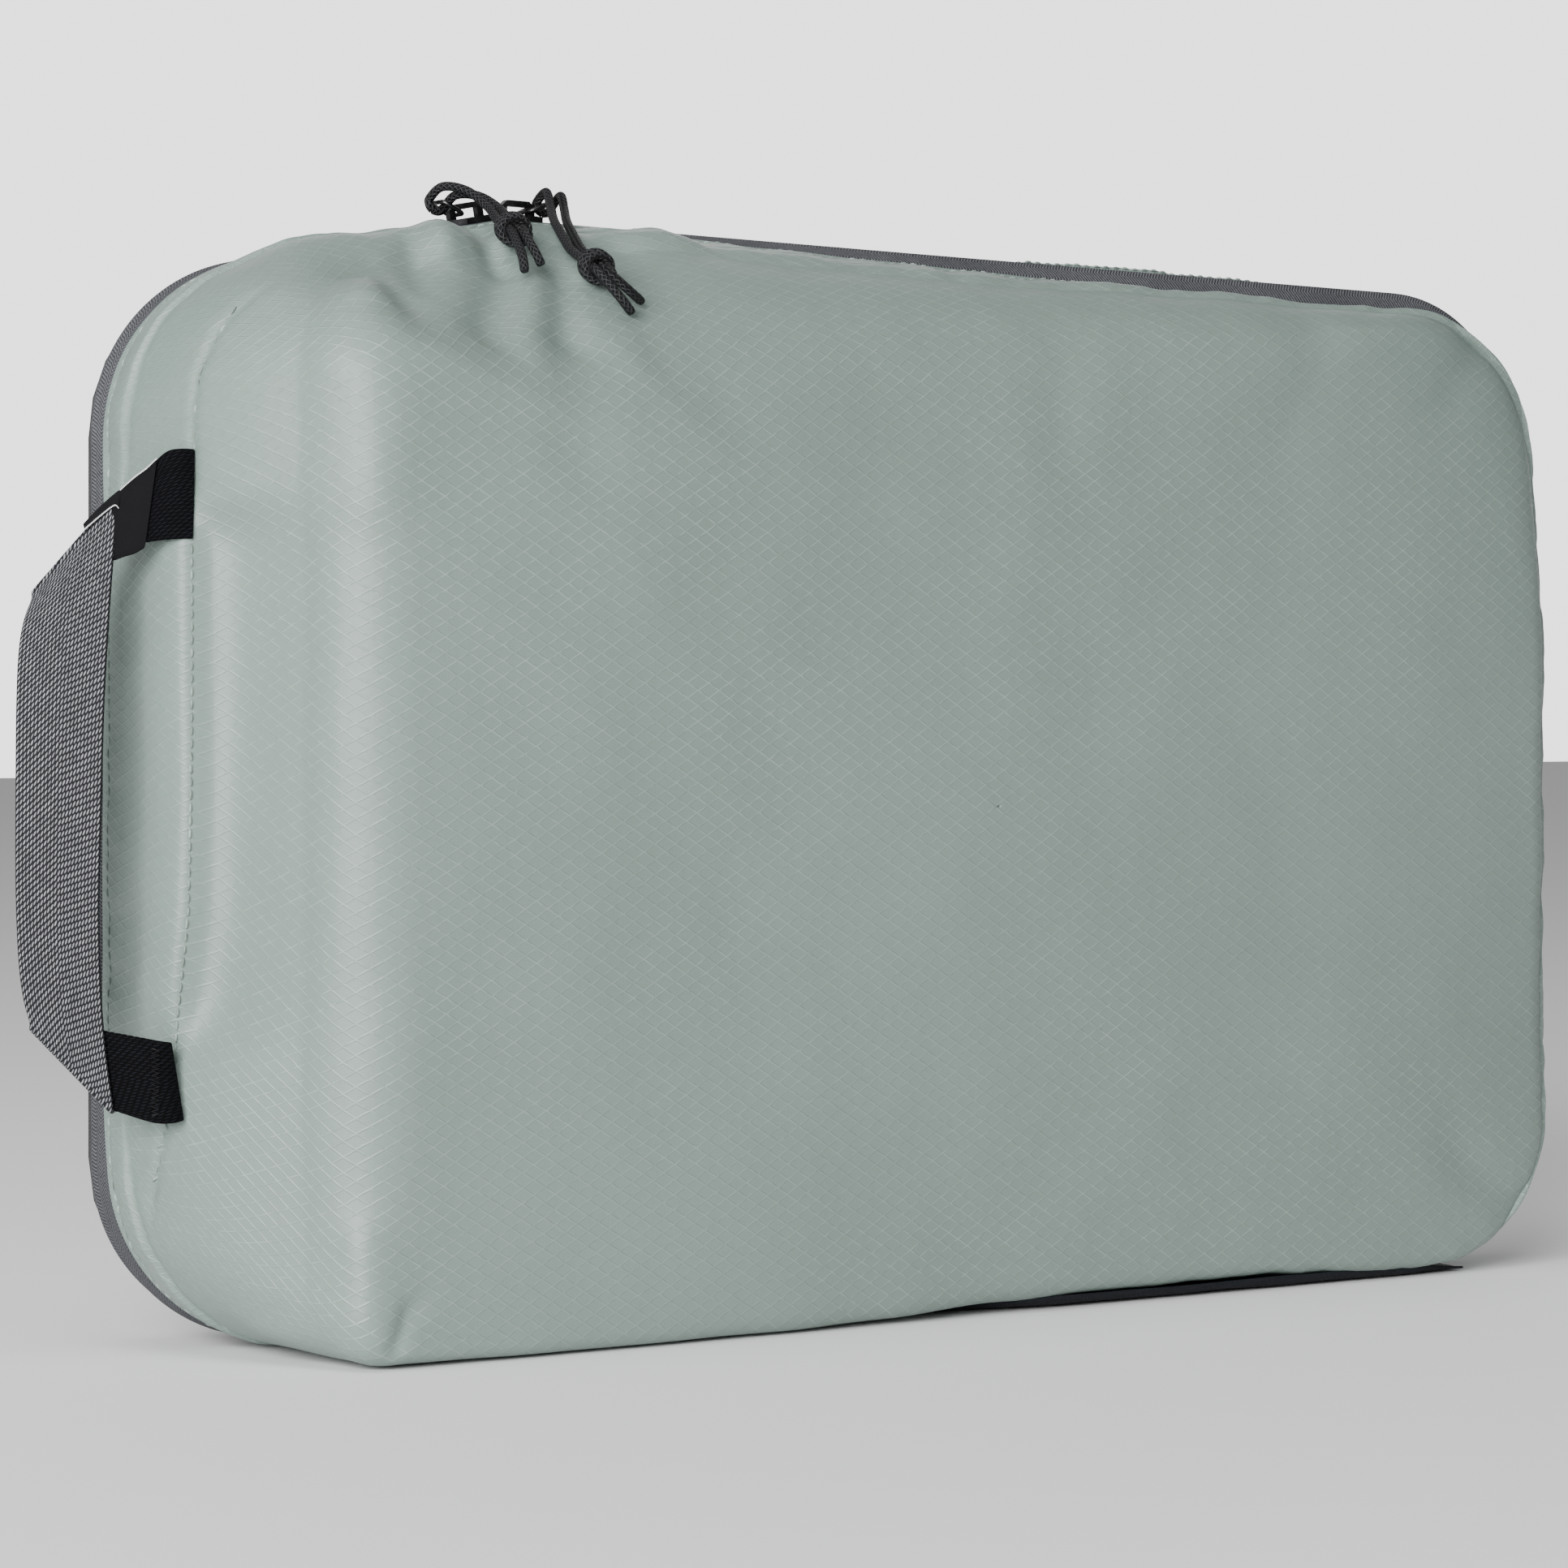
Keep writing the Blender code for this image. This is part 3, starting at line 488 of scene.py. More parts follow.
# ---- outlines --------------------------------------------
def rounded_outline(corners):
    """Points around a polygon of (x, z, radius) corners with round corners."""
    count = len(corners)
    arcs = []
    for i, (x, z, radius) in enumerate(corners):
        corner = Vector((x, z))
        back = (Vector(corners[i - 1][:2]) - corner).normalized()
        ahead = (Vector(corners[(i + 1) % count][:2]) - corner).normalized()
        half = back.angle(ahead) / 2
        centre = corner + (back + ahead).normalized() * (radius / math.sin(half))
        start = corner + back * (radius / math.tan(half)) - centre
        sweep = math.copysign(math.pi - 2 * half, back.cross(ahead))
        arcs.append([centre + Matrix.Rotation(-sweep * k / ARC_STEPS, 2) @ start
                     for k in range(ARC_STEPS + 1)])
    points = []
    for i, arc in enumerate(arcs):
        points.extend(arc)
        following = arcs[(i + 1) % count][0]
        points.extend(arc[-1].lerp(following, k / SIDE_STEPS[i]) for k in range(1, SIDE_STEPS[i]))
    return np.array([tuple(p) for p in points])


def around(values, width):
    """Values smoothed round a closed outline."""
    reach = int(width * 3)
    weights = np.exp(-0.5 * (np.arange(-reach, reach + 1) / width) ** 2)
    weights /= weights.sum()
    total = np.zeros_like(values)
    for step, weight in zip(range(-reach, reach + 1), weights):
        total += weight * np.roll(values, -step, 0)
    return total


def outline_normals(points, width=4.0):
    along = np.roll(points, -1, 0) - np.roll(points, 1, 0)
    normals = np.stack([-along[:, 1], along[:, 0]], 1)
    normals /= np.linalg.norm(normals, axis=1, keepdims=True)
    normals = around(normals, width)
    return normals / np.linalg.norm(normals, axis=1, keepdims=True)


ZIP_LINE = rounded_outline(ZIP_CORNERS)
ZIP_OUT = outline_normals(ZIP_LINE)
COLUMNS = len(ZIP_LINE)
STEPS = np.linalg.norm(np.roll(ZIP_LINE, -1, 0) - ZIP_LINE, axis=1)
RUN = np.concatenate([[0.0], np.cumsum(STEPS)[:-1]])     # metres along the zip line


def depth_at(x):
    share = (x - NEAR_X) / (FAR_X - NEAR_X)
    return DEPTH_NEAR + (DEPTH_FAR - DEPTH_NEAR) * share


def face_y(x, z):
    """The stuffed front panel."""
    a = 2 * (x - NEAR_X) / (FAR_X - NEAR_X) - 1
    b = 2 * z / FACE_TOP_Z - 1
    swell = (1 - min(abs(a), 1.0) ** 4) * (1 - min(abs(b), 1.0) ** 4)
    return -depth_at(x) - FACE_BULGE * swell


# ---- the stuffed body ------------------------------------
HEM_ROWS, WALL_ROWS, EDGE_ROWS, FACE_ROWS = 22, 44, 18, 42
MIDDLE = Vector((0.010, 0.122))

# How far the body's folded edge lies below the zip along the top, by x.
TOP_HEM_X = (-0.19, -0.07, -0.05, -0.02, 0.03, 0.09, 0.13, 0.17, 0.199)
TOP_HEM_DROP = (0.0004, 0.0004, 0.0012, 0.0022, 0.0036, 0.0052, 0.0064, 0.0066, 0.0060)

# The same down the far end, by z.
FAR_HEM_Z = (0.0, 0.170, 0.205, 0.235, 0.252)
FAR_HEM_DROP = (0.0016, 0.0018, 0.0030, 0.0056, 0.0062)

# Soft folds, in millimetres: start, end, half width and height. A negative
# height is a valley.
FOLDS = (
    # the top of the handle end stands above the zip
    ((-160, -18, 247), (-118, -16, 256), 12.5, 3.4),
    ((-76, -15, 259), (-52, -14, 258), 8, 1.4),
    # pleats that run down from the two sliders
    ((-108, -12, 259), (-113, -36, 249), 3.4, -3),
    ((-113, -36, 249), (-130, -63, 229), 5.2, -2.6),
    ((-118, -12, 258), (-126, -36, 249), 4.2, 2.2),
    ((-98, -36, 249), (-108, -60, 230), 5, -2),
    ((-108, -60, 230), (-110, -68, 200), 9, -1.4),
    ((-106, -38, 247), (-120, -64, 224), 4.4, 1.6),
    ((-130, -22, 253), (-139, -48, 240), 3.8, -1.6),
    ((-88, -24, 254), (-92, -60, 222), 5.6, 1),
    ((-78, -20, 255), (-70, -56, 215), 6, -1),
    ((-64, -18, 255), (-50, -54, 200), 9, 0.8),
    # the pinched corner over the upright edge, and its crisp dart
    ((-151, -46, 241), (-158, -58, 236), 5.6, 2),
    ((-158, -58, 236), (-162, -72, 190), 6.5, 1.6),
    ((-141, -30, 249), (-157, -55, 238), 1.1, 0.9),
    ((-145, -50, 240), (-150, -66, 226), 4.6, -1.8),
    # the foot of the upright edge
    ((-163, -71, 4), (-165, -73, 30), 6, 1.8),
    ((-164, -66, 10), (-180, -40, 6), 4.5, 1.2),
    ((-158, -74, 4), (-154, -75, 14), 2.4, -1.2),
    # drawn-in corners of the front panel at the far end
    ((180, -20, 240), (160, -30, 222), 6, -1),
    ((186, -20, 16), (160, -30, 34), 6, -1),
    ((120, -28, 240), (100, -34, 205), 8, -0.7),
    ((40, -40, 243), (30, -50, 205), 9, -0.7),
)
FOLDS_AT = [(in_metres(a), in_metres(b), width / 1000, height / 1000) for a, b, width, height in FOLDS]

# The handle's seam, top to bottom, on the end of the cube, in millimetres.
SEAM_LINE = [in_metres(p) for p in (
    (-180, -40, 240), (-185.8, -38.3, 228.7), (-189.5, -37.4, 215.1),
    (-191.2, -37.2, 194), (-191.2, -37.6, 168), (-191.2, -37.6, 128),
    (-191.6, -36.6, 100), (-193, -33, 72), (-194.8, -26.2, 45),
    (-195.2, -21.5, 30),
)]
SEAM_LOW, SEAM_HIGH, SEAM_END_X = 0.024, 0.245, -0.150      # where the seam shapes the cloth
GROOVE_LOW, GROOVE_HIGH = 0.062, 0.196        # heights between which the strap pulls
STRIP_RISE, GROOVE_DEPTH = 0.0028, 0.0078
SEWN_TOP_Z, SEWN_RUN, SEWN_STEPS = 0.236, 0.202, 259


def seam_at(z):
    """The seam's point at a height."""
    for upper, lower in zip(SEAM_LINE, SEAM_LINE[1:]):
        if z >= lower.z:
            break
    share = (upper.z - z) / (upper.z - lower.z)
    return upper.lerp(lower, min(max(share, 0.0), 1.0))


def seam_lift(p):
    """The strip by the zip stands proud of the seam, and a groove lies in front."""
    if p.x > SEAM_END_X or p.z > SEAM_HIGH or p.z < SEAM_LOW:
        return 0.0
    s = seam_at(p.z).y - p.y
    held = smooth((p.z - GROOVE_LOW) / 0.022) * smooth((GROOVE_HIGH - p.z) / 0.014)
    ends = smooth((p.z - SEAM_LOW) / 0.012) * smooth((SEAM_HIGH - p.z) / 0.012)
    strip = STRIP_RISE * math.exp(-((s + 0.004) / 0.012) ** 2)
    groove = -GROOVE_DEPTH * (1 - math.exp(-max(s, 0.0) / 0.0060)) * math.exp(-(s / 0.0200) ** 2)
    lift = held * (strip * (1 - smooth((s + 0.0010) / 0.0040)) + groove)
    pinch = noise.noise(Vector((0.0, s * 60.0, p.z * 210.0)))
    lift += ends * (1 - held) * pinch * 0.0011 * math.exp(-(s / 0.0060) ** 2)
    lift -= ends * (1 - 0.4 * held) * 0.0009 * math.exp(-(s / 0.0011) ** 2)
    return lift


def bezier(a, b, c, share):
    return a.lerp(b, share).lerp(b.lerp(c, share), share)


# How much each column belongs to the left, top, right and base.
LEFT, UP, RIGHT, DOWN = (
    around(np.maximum(sign * ZIP_OUT[:, axis], 0), width)
    for sign, axis, width in ((-1, 0, 6.0), (1, 1, 8.0), (1, 0, 6.0), (-1, 1, 4.0))
)


def by_side(left, up, right, down):
    total = LEFT + UP + RIGHT + DOWN
    return (LEFT * left + UP * up + RIGHT * right + DOWN * down) / total


TOP_DROP = around(np.interp(ZIP_LINE[:, 0], TOP_HEM_X, TOP_HEM_DROP), 3.0)
BODY_HEM_Y = by_side(0.0042, 0.0056, 0.0056, 0.0150)
FAR_DROP = around(np.interp(ZIP_LINE[:, 1], FAR_HEM_Z, FAR_HEM_DROP), 3.0)
BODY_HEM_IN = by_side(0.0003, TOP_DROP, FAR_DROP, 0.0)
LID_HEM_IN = by_side(0.0042, 0.0006, 0.0030, 0.0010)


def body_columns():
    """Points and UVs, rows x columns, from the folded edge to the face's middle."""
    face = rounded_outline(FACE_CORNERS)
    face_out = outline_normals(face, 3.0)
    rows = HEM_ROWS + WALL_ROWS + EDGE_ROWS + FACE_ROWS
    points = np.zeros((rows, COLUMNS, 3))
    uvs = np.zeros((rows, COLUMNS, 2))
    slope = math.cos(math.atan2(DEPTH_NEAR - DEPTH_FAR, FAR_X - NEAR_X))
    for i in range(COLUMNS):
        r, f = Vector(ZIP_LINE[i]), Vector(face[i])
        left, up, right, down = LEFT[i], UP[i], RIGHT[i], DOWN[i]
        out = Vector((ZIP_OUT[i, 0], 0.0, ZIP_OUT[i, 1]))
        start = Vector((r.x, -BODY_HEM_Y[i], r.y)) - out * BODY_HEM_IN[i]
        # along the thin end, the fabric's lower edge stands clear of the ground
        clear = 0.0026 * down * smooth((r.x + 0.05) / 0.09)
        edge = Vector((f.x, -depth_at(f.x), f.y + clear))
        start.z += clear * 0.6
        toward = (edge - start).normalized()
        hem = start + toward * HEM_WIDTH * 0.7 + Vector((0, -1, 0)) * HEM_WIDTH * 0.3
        radius = 0.006 * (1 - up) + 0.046 * up
        radius = radius * (1 - left) + 0.017 * left
        wall = (edge - hem).length
        inward = (MIDDLE - f).normalized()
        wall_end = edge + (hem - edge).normalized() * min(radius, 0.8 * wall)
        face_round = min(radius, 0.9 * depth_at(f.x))
        flat = f + inward * face_round
        face_start = Vector((flat.x, face_y(flat.x, flat.y), flat.y + clear))
        bulge = END_BULGE * left * (1 - down) + 0.0012 * up + 0.0022 * right * (1 - down)
        column = []
        for k in range(HEM_ROWS):
            t = k / HEM_ROWS
            column.append(start.lerp(hem, t) + out * bulge * 0.25 * smooth(t))
        for k in range(WALL_ROWS):
            t = k / WALL_ROWS
            swell = bulge * (0.25 * (1 - t) + 0.9 * math.sin(math.pi * t))
            column.append(hem.lerp(wall_end, t) + out * swell)
        for k in range(EDGE_ROWS):
            column.append(bezier(wall_end, edge, face_start, k / EDGE_ROWS))
        for k in range(FACE_ROWS):
            t = (k / (FACE_ROWS - 1)) ** 0.9
            spot = flat.lerp(MIDDLE, t)
            column.append(Vector((spot.x, face_y(spot.x, spot.y), spot.y + clear * (1 - t) ** 4)))
        points[:, i] = [tuple(p) for p in column]
        # The cloth's own plane: the face flat, the walls opened out around it.
        apex = HEM_ROWS + WALL_ROWS + EDGE_ROWS // 2
        home = Vector((column[apex].x / slope, column[apex].z))
        away = 0.0
        for row in range(apex, -1, -1):
            if row < apex:
                away += (column[row] - column[row + 1]).length
            uvs[row, i] = (home.x + face_out[i, 0] * away, home.y + face_out[i, 1] * away)
        for row in range(apex + 1, rows):
            uvs[row, i] = (column[row].x / slope, column[row].z)
    return points, uvs


def fold_height(p):
    """All soft folds at a point."""
    total = 0.0
    for start, end, width, height in FOLDS_AT:
        line = end - start
        t = (p - start).dot(line) / line.length_squared
        if t < -0.35 or t > 1.35:
            continue
        held = min(max(t, 0.0), 1.0)
        away = (p - start - line * held).length
        if away > 3 * width:
            continue
        fade = smooth((t + 0.35) / 0.45) * smooth((1.35 - t) / 0.55)
        total += height * math.exp(-(away / width) ** 2) * fade
    return total


def hem_lift(d, run, seed, corner):
    """Puckers by the sewn edge, the stitch line and the turned-in hem's step."""
    near = smooth(d / 0.003) * (1 - smooth((d - 0.007) / 0.020))
    lift = noise.noise(Vector((run * 95.0, seed, d * 30.0))) * 0.0011 * near
    lift += noise.noise(Vector((run * 310.0, seed + 4.0, d * 90.0))) * 0.00035 * near
    lift -= 0.00030 * math.exp(-((d - STITCH_IN) / 0.0006) ** 2)
    width = HEM_WIDTH * (0.84 + 0.16 * corner)
    width += noise.noise(Vector((run * 40.0, seed, 2.0))) * 0.0009
    step = (1 - smooth((d - width) / 0.0008)) * smooth(d / width)
    lift += HEM_FOLD * (0.35 + 1.6 * corner) * step
    lift -= 0.0005 * corner * math.exp(-((d - width - 0.0012) / 0.0012) ** 2)
    return lift


def wrinkle_cloth(points):
    """Moves the sheet along its normals: folds, puckers by the hem and slack."""
    normals = grid_normals(points, True)
    rows, cols = points.shape[:2]
    from_hem = distances(points)
    corner = around(4.0 * LEFT * np.minimum(UP + DOWN, 1.0) * (LEFT > 0.2), 5.0)
    corner = np.clip(corner, 0.0, 1.0)
    moved = points.copy()
    for j in range(rows):
        for i in range(cols):
            p = Vector(points[j, i])
            d = from_hem[j, i]
            lift = fold_height(p) * smooth((d + 0.004) / 0.008)
            slack = noise.noise(p * 16.0) * 0.0010 + noise.noise(p * 42.0) * 0.0004
            lift += (slack + seam_lift(p)) * smooth(d / 0.012)
            lift += hem_lift(d, RUN[i], 3.1, corner[i])
            moved[j, i] += normals[j, i] * lift
    # the folded edge wanders a little along the zip
    for i in range(cols):
        wander = noise.noise(Vector((RUN[i] * 60.0, 9.7, 0.0))) * 0.0009
        for j in range(8):
            moved[j, i, 1] += wander * (1 - j / 8)
            moved[j, i, 2] += wander * 0.6 * UP[i] * (1 - j / 8)
    moved[:, :, 2] = np.maximum(moved[:, :, 2], GROUND)
    return moved


# Each stitch's height over the cloth and its thickness, from end to end.
STITCH_RISE = (-0.6, 0.55, 0.75, 0.55, -0.6)
STITCH_SIZE = (0.6, 1, 1.1, 1, 0.6)


def stitches(name, points, normals, pitch=0.0029, length=0.0022, thick=0.00028):
    """Thread along a line of points: one small capsule for each stitch."""
    line = [Vector(p) for p in points]
    faces_out = [Vector(n) for n in normals]
    parts, due, travelled = [], 0.0, 0.0
    for i in range(len(line) - 1):
        step = (line[i + 1] - line[i]).length
        while due < travelled + step:
            t = (due - travelled) / step
            centre = line[i].lerp(line[i + 1], t)
            out = faces_out[i]
            along = (line[i + 1] - line[i]).normalized()
            path = [centre + along * length * (k / 4 - 0.5) + out * thick * rise
                    for k, rise in enumerate(STITCH_RISE)]
            parts.append(tube_parts(path, [thick * size for size in STITCH_SIZE], 6))
            due += pitch
        travelled += step
    return mesh_object(name, *join_parts(parts))


def hem_stitches(body, points, normals, row, mats):
    """The stitch line along a folded edge."""
    line, out = (np.concatenate([grid[row], grid[row][:1]]) for grid in (points, normals))
    name = "body" if body == "root" else body
    place(stitches(name + "_hem_stitches", line, out), body, "ripstop_fabric", mats["thread"])


def build_body(mats):
    points, uvs = body_columns()
    points = wrinkle_cloth(points)
    body = cloth_sheet("body_shell", points, uvs, True)
    place(body, "root", "ripstop_fabric", mats["ripstop"], ("front_panel", "end_gusset"))
    normals = grid_normals(points, True)
    hem_stitches("root", points, normals, round(STITCH_IN / HEM_WIDTH * HEM_ROWS), mats)

    # the handle's seam, laid onto the cloth nearest to it
    wall_points = points[:HEM_ROWS + WALL_ROWS].reshape(-1, 3)
    wall_normals = normals[:HEM_ROWS + WALL_ROWS].reshape(-1, 3)
    sewn, sewn_out = [], []
    for k in range(SEWN_STEPS + 1):
        spot = np.array(seam_at(SEWN_TOP_Z - SEWN_RUN * k / SEWN_STEPS))
        nearest = np.argmin(((wall_points - spot) ** 2).sum(1))
        out = wall_normals[nearest]
        sewn.append(spot + out * (wall_points[nearest] - spot).dot(out))
        sewn_out.append(out)
    thread = stitches("handle_seam_stitches", sewn, sewn_out)
    place(thread, "root", "ripstop_fabric", mats["thread"])


# ---- the lid ---------------------------------------------
# Where the lid's edge stands up behind the zip: x and rise.
LID_TOP_X = (-0.19, 0.03, 0.06, 0.13, 0.15, 0.199)
LID_TOP_RISE = (0.0, 0.0, 0.0032, 0.0032, 0.0, 0.0)

# The lid's rim, from its folded edge to the start of the flat: y and inset.
LID_RIM = (
    (LID_HEM_Y, 0.0), (LID_HEM_Y + 0.0008, 0.0), (LID_HEM_Y + 0.0016, 0.0001),
    (LID_HEM_Y + 0.0026, 0.0006), (0.0116, 0.0016), (0.0132, 0.0032), (0.0146, 0.0054),
    (0.0155, 0.0080), (0.0162, 0.0113), (0.0168, 0.0158),
)
LID_MIDDLE_Z = 0.125
LID_FLAT_ROWS = 39


def build_lid(mats):
    base_lift = 0.0016 * around((ZIP_LINE[:, 1] < 0.004).astype(float), 3.0)
    rise = around(np.interp(ZIP_LINE[:, 0], LID_TOP_X, LID_TOP_RISE) * UP, 4.0)
    rows = []
    for y, inset in LID_RIM:
        away = inset + LID_HEM_IN + (y - LID_HEM_Y) / 0.009 * 0.0030 * LEFT
        away = away - rise * math.sin(math.pi * min((y - LID_HEM_Y) / 0.007, 1.0))
        spot = ZIP_LINE - ZIP_OUT * away[:, None]
        spot[:, 1] += base_lift
        rows.append(np.stack([spot[:, 0], np.full(COLUMNS, y), spot[:, 1]], 1))
    edge = rows[-1]
    flat_y = LID_RIM[-1][0]
    centre = np.array([0.0, flat_y + LID_BULGE, LID_MIDDLE_Z])
    for k in range(1, LID_FLAT_ROWS + 1):
        t = k / LID_FLAT_ROWS
        spot = edge + (centre - edge) * t
        spot[:, 1] = flat_y + LID_BULGE * (1 - (1 - t) ** 2.4)
        rows.append(spot)
    points = np.array(rows)
    normals = -grid_normals(points, True)
    from_hem = distances(points)
    for j in range(points.shape[0]):
        for i in range(COLUMNS):
            d = from_hem[j, i]
            p = Vector(points[j, i])
            lift = noise.noise(p * 20.0) * 0.0013 * smooth((d - 0.010) / 0.03)
            lift += noise.noise(p * 55.0) * 0.0004 * smooth((d - 0.006) / 0.02)
            lift += hem_lift(d, RUN[i], 5.5, 0.0)
            by_base = DOWN[i] * (1 - smooth((d - 0.01) / 0.02))
            points[j, i] += normals[j, i] * lift * (1 - 0.7 * by_base)
    last = len(LID_RIM) - 1
    uvs = np.zeros(points.shape[:2] + (2,))
    for j in range(points.shape[0]):
        away = np.maximum(from_hem[last] - from_hem[j], 0.0) if j < last else 0.0
        home = last if j < last else j
        uvs[j, :, 0] = points[home, :, 0] + ZIP_OUT[:, 0] * away
        uvs[j, :, 1] = points[home, :, 2] + ZIP_OUT[:, 1] * away
    lid = cloth_sheet("lid_shell", points, uvs, True, flip=True)
    place(lid, "lid", "ripstop_fabric", mats["ripstop"], ("lid_panel",))
    hem_stitches("lid", points, -grid_normals(points, True), 2, mats)


# ---- the zip ---------------------------------------------
# The outline's points from the first lower corner round to the last one.
ZIP_USED = 5 * (ARC_STEPS + 1) + sum(SIDE_STEPS[:4]) - 4

# Rows of the tape, from under the folded edge to the slit: how far toward the
# folded edge each lies (1 is at it, more is tucked under), and its extra depth.
TAPE_ROWS = (
    (1.42, 0.0), (1.25, 0.0), (1.10, 0.0), (0.95, 0.0), (0.80, 0.0), (0.62, 0.0),
    (0.45, 0.0), (0.30, 0.0), (0.16, 0.0), (0.0, 0.0003), (0.0, 0.0012),
)


def zip_way(inset, lift, run=ZIP_END_RUN):
    """The zip's way round at an inset from the outline, as points in XZ."""
    points = ZIP_LINE[:ZIP_USED] - ZIP_OUT[:ZIP_USED] * inset
    points = np.concatenate([[(points[0, 0] + run, inset)], points, [(points[-1, 0] - run, inset)]])
    rise = lift * (1 - np.clip(points[:, 1] / 0.06, 0, 1)) ** 2
    points[:, 1] = np.maximum(points[:, 1], inset) + rise
    return points


def with_ends(values):
    """Values along the zip, with the first and last repeated for its two ends."""
    return np.concatenate([values[:1], values[:ZIP_USED], values[ZIP_USED - 1:ZIP_USED]])


def build_tape(side, prefix, body, mats):
    """One woven tape, arched from the slit down to under its folded edge."""
    lift = 0.0 if side < 0 else LID_TAPE_LIFT
    hem_y = BODY_HEM_Y if side < 0 else np.full(COLUMNS, LID_HEM_Y)
    hem_in = BODY_HEM_IN if side < 0 else LID_HEM_IN
    hem_y, hem_in = with_ends(np.minimum(hem_y, LID_HEM_Y)), with_ends(hem_in)
    outward = np.concatenate([[(0.0, -1.0)], ZIP_OUT[:ZIP_USED], [(0.0, -1.0)]])
    straight = zip_way(0.0, lift)
    along = distances(straight)
    rows, uvs = [], []
    for reach, deeper in TAPE_ROWS:
        y = TAPE_SLIT_Y + (hem_y - TAPE_SLIT_Y) * reach
        inset = 0.0004 + (hem_in + 0.0006) * reach ** 2 + deeper
        way = straight - outward * inset[:, None]
        way[:, 1] = np.maximum(way[:, 1], GROUND)
        add_row(rows, uvs, (way[:, 0], side * y, way[:, 1]), (along, y))
    tape = cloth_sheet(prefix + "_tape", rows, uvs, False, 0.0005, flip=side > 0)
    place(tape, body, "zip_tape", mats["tape"], (prefix + "_zip_tape",))

    # The coil: ribs round a cord just under the tape's edge.
    way = zip_way(COIL_IN + COIL_RADIUS, lift, ZIP_END_RUN - 0.0037)
    along = distances(way)
    count = int(along[-1] / COIL_PITCH) * 4
    at = np.linspace(0, along[-1], count)
    x, z = (np.interp(at, along, way[:, axis]) for axis in (0, 1))
    path = [Vector((a, side * (TAPE_SLIT_Y + 0.0002 + COIL_RADIUS), b)) for a, b in zip(x, z)]
    sizes = [COIL_RADIUS * (0.72, 1.0, 1.0, 0.72)[k % 4] for k in range(count)]
    ribs = tube_parts(path, sizes, 7, start_out=Vector((0, 1, 0)))
    coil = mesh_object(prefix + "_coil_ribs", *ribs)
    place(coil, body, "zip_coil", mats["coil"], (prefix + "_zip_coil",))


# The hinge binding's ends, in X; its front part as (share of its depth, height),
# and its back as (y, z).
HINGE_ENDS, HINGE_COLUMNS = (-0.150, 0.172), 200
HINGE_FRONT = (
    (1.0, 0.0030), (0.97, 0.0019), (0.93, 0.0010), (0.86, 0.0005), (0.7, 0.0004), (0.45, 0.0005),
)
HINGE_BACK = (
    (-0.0030, 0.0007), (0.0010, 0.0010), (0.0045, 0.0012), (0.0075, 0.0016),
    (0.0105, 0.0024), (0.0120, 0.0036),
)


def build_hinge_strip(mats):
    """Binding under the fold, from below the body's lower edge to the lid's hem."""
    xs = np.linspace(*HINGE_ENDS, HINGE_COLUMNS)
    depth = np.array([depth_at(x) for x in xs])
    shown = np.array([smooth((x + 0.05) / 0.09) * smooth((0.178 - x) / 0.030) for x in xs])
    front = 0.0185 * (1 - shown) + (depth - 0.0022) * shown
    rows, uvs = [], []
    for share, z in HINGE_FRONT:
        y = -(0.004 + (front - 0.004) * share)
        height = 0.0004 + (z - 0.0004) * shown
        wave = np.array([noise.noise(Vector((x * 60, share * 9, 1.7))) * 0.0003 for x in xs])
        add_row(rows, uvs, (xs, y, np.maximum(height + wave, GROUND)), (xs, y))
    for y, z in HINGE_BACK:
        add_row(rows, uvs, (xs, y, z), (xs, y))
    strip = cloth_sheet("hinge_binding_band", rows, uvs, False, 0.0006, flip=True)
    place(strip, None, "hinge_binding", mats["hinge"], ("hinge_strip",))
    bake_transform(strip)


# The inside binding's section: distance below the folded edge, and inset.
SEAM_BINDING = ((0.0012, 0.0021), (0.0042, 0.0021), (0.0042, 0.0033), (0.0012, 0.0033))


def build_seam_binding(mats):
    """Binding over the raw edge inside, just under the body's folded edge."""
    rows, uvs = [], []
    for y_in, inset in SEAM_BINDING:
        way = ZIP_LINE - ZIP_OUT * (BODY_HEM_IN + inset)[:, None]
        height = np.maximum(way[:, 1], 0.0010)
        add_row(rows, uvs, (way[:, 0], -(BODY_HEM_Y + y_in), height), (RUN, y_in))
    band = cloth_sheet("body_binding_band", rows, uvs, True, 0.0003, 0)
    place(band, "root", "seam_binding", mats["binding"], ("body_seam_binding",))


# ---- sliders, bails and cords ----------------------------
SLIDER_OFFSET = 0.0066
BAIL_WIRE, BAIL_LENGTH, BAIL_WIDTH, BAIL_CORNER = 0.00055, 0.0058, 0.0074, 0.0013
BAIL_RISE = {-1: math.radians(38), 1: math.radians(22)}      # left, right
BAIL_PIVOT = Vector((0.0021, 0.0, 0.0029))

# Each pull's way from its bail to its knot, then its two tails' reach, in millimetres.
LEFT_ROUTE = (
    (1.6, -3.4, 2.6), (5.4, -8.2, 1.8), (8, -13.8, -1.8),
    (7.2, -20.4, -5.2), (6.1, -25.7, -6.8),
)
LEFT_TAILS = ((-3.4, -10, -9.4), (2.3, -7.2, -7.6))
RIGHT_ROUTE = (
    (0.5, -3.8, 2.3), (-1.2, -9.2, -1.4), (-4.1, -16.4, -5),
    (-6.1, -23.4, -8.3), (-8.1, -32.5, -13), (-8.9, -41, -16.2),
)
RIGHT_TAILS = ((5.5, -3.4, -9.3), (9.8, 0, -6.4))
KNOT_LENGTH = 0.0084
KNOT_TURNS, KNOT_STEPS = 1.55, 44
STRAND_SPACING = 0.0026
BIGHT_RADIUS = 0.0021


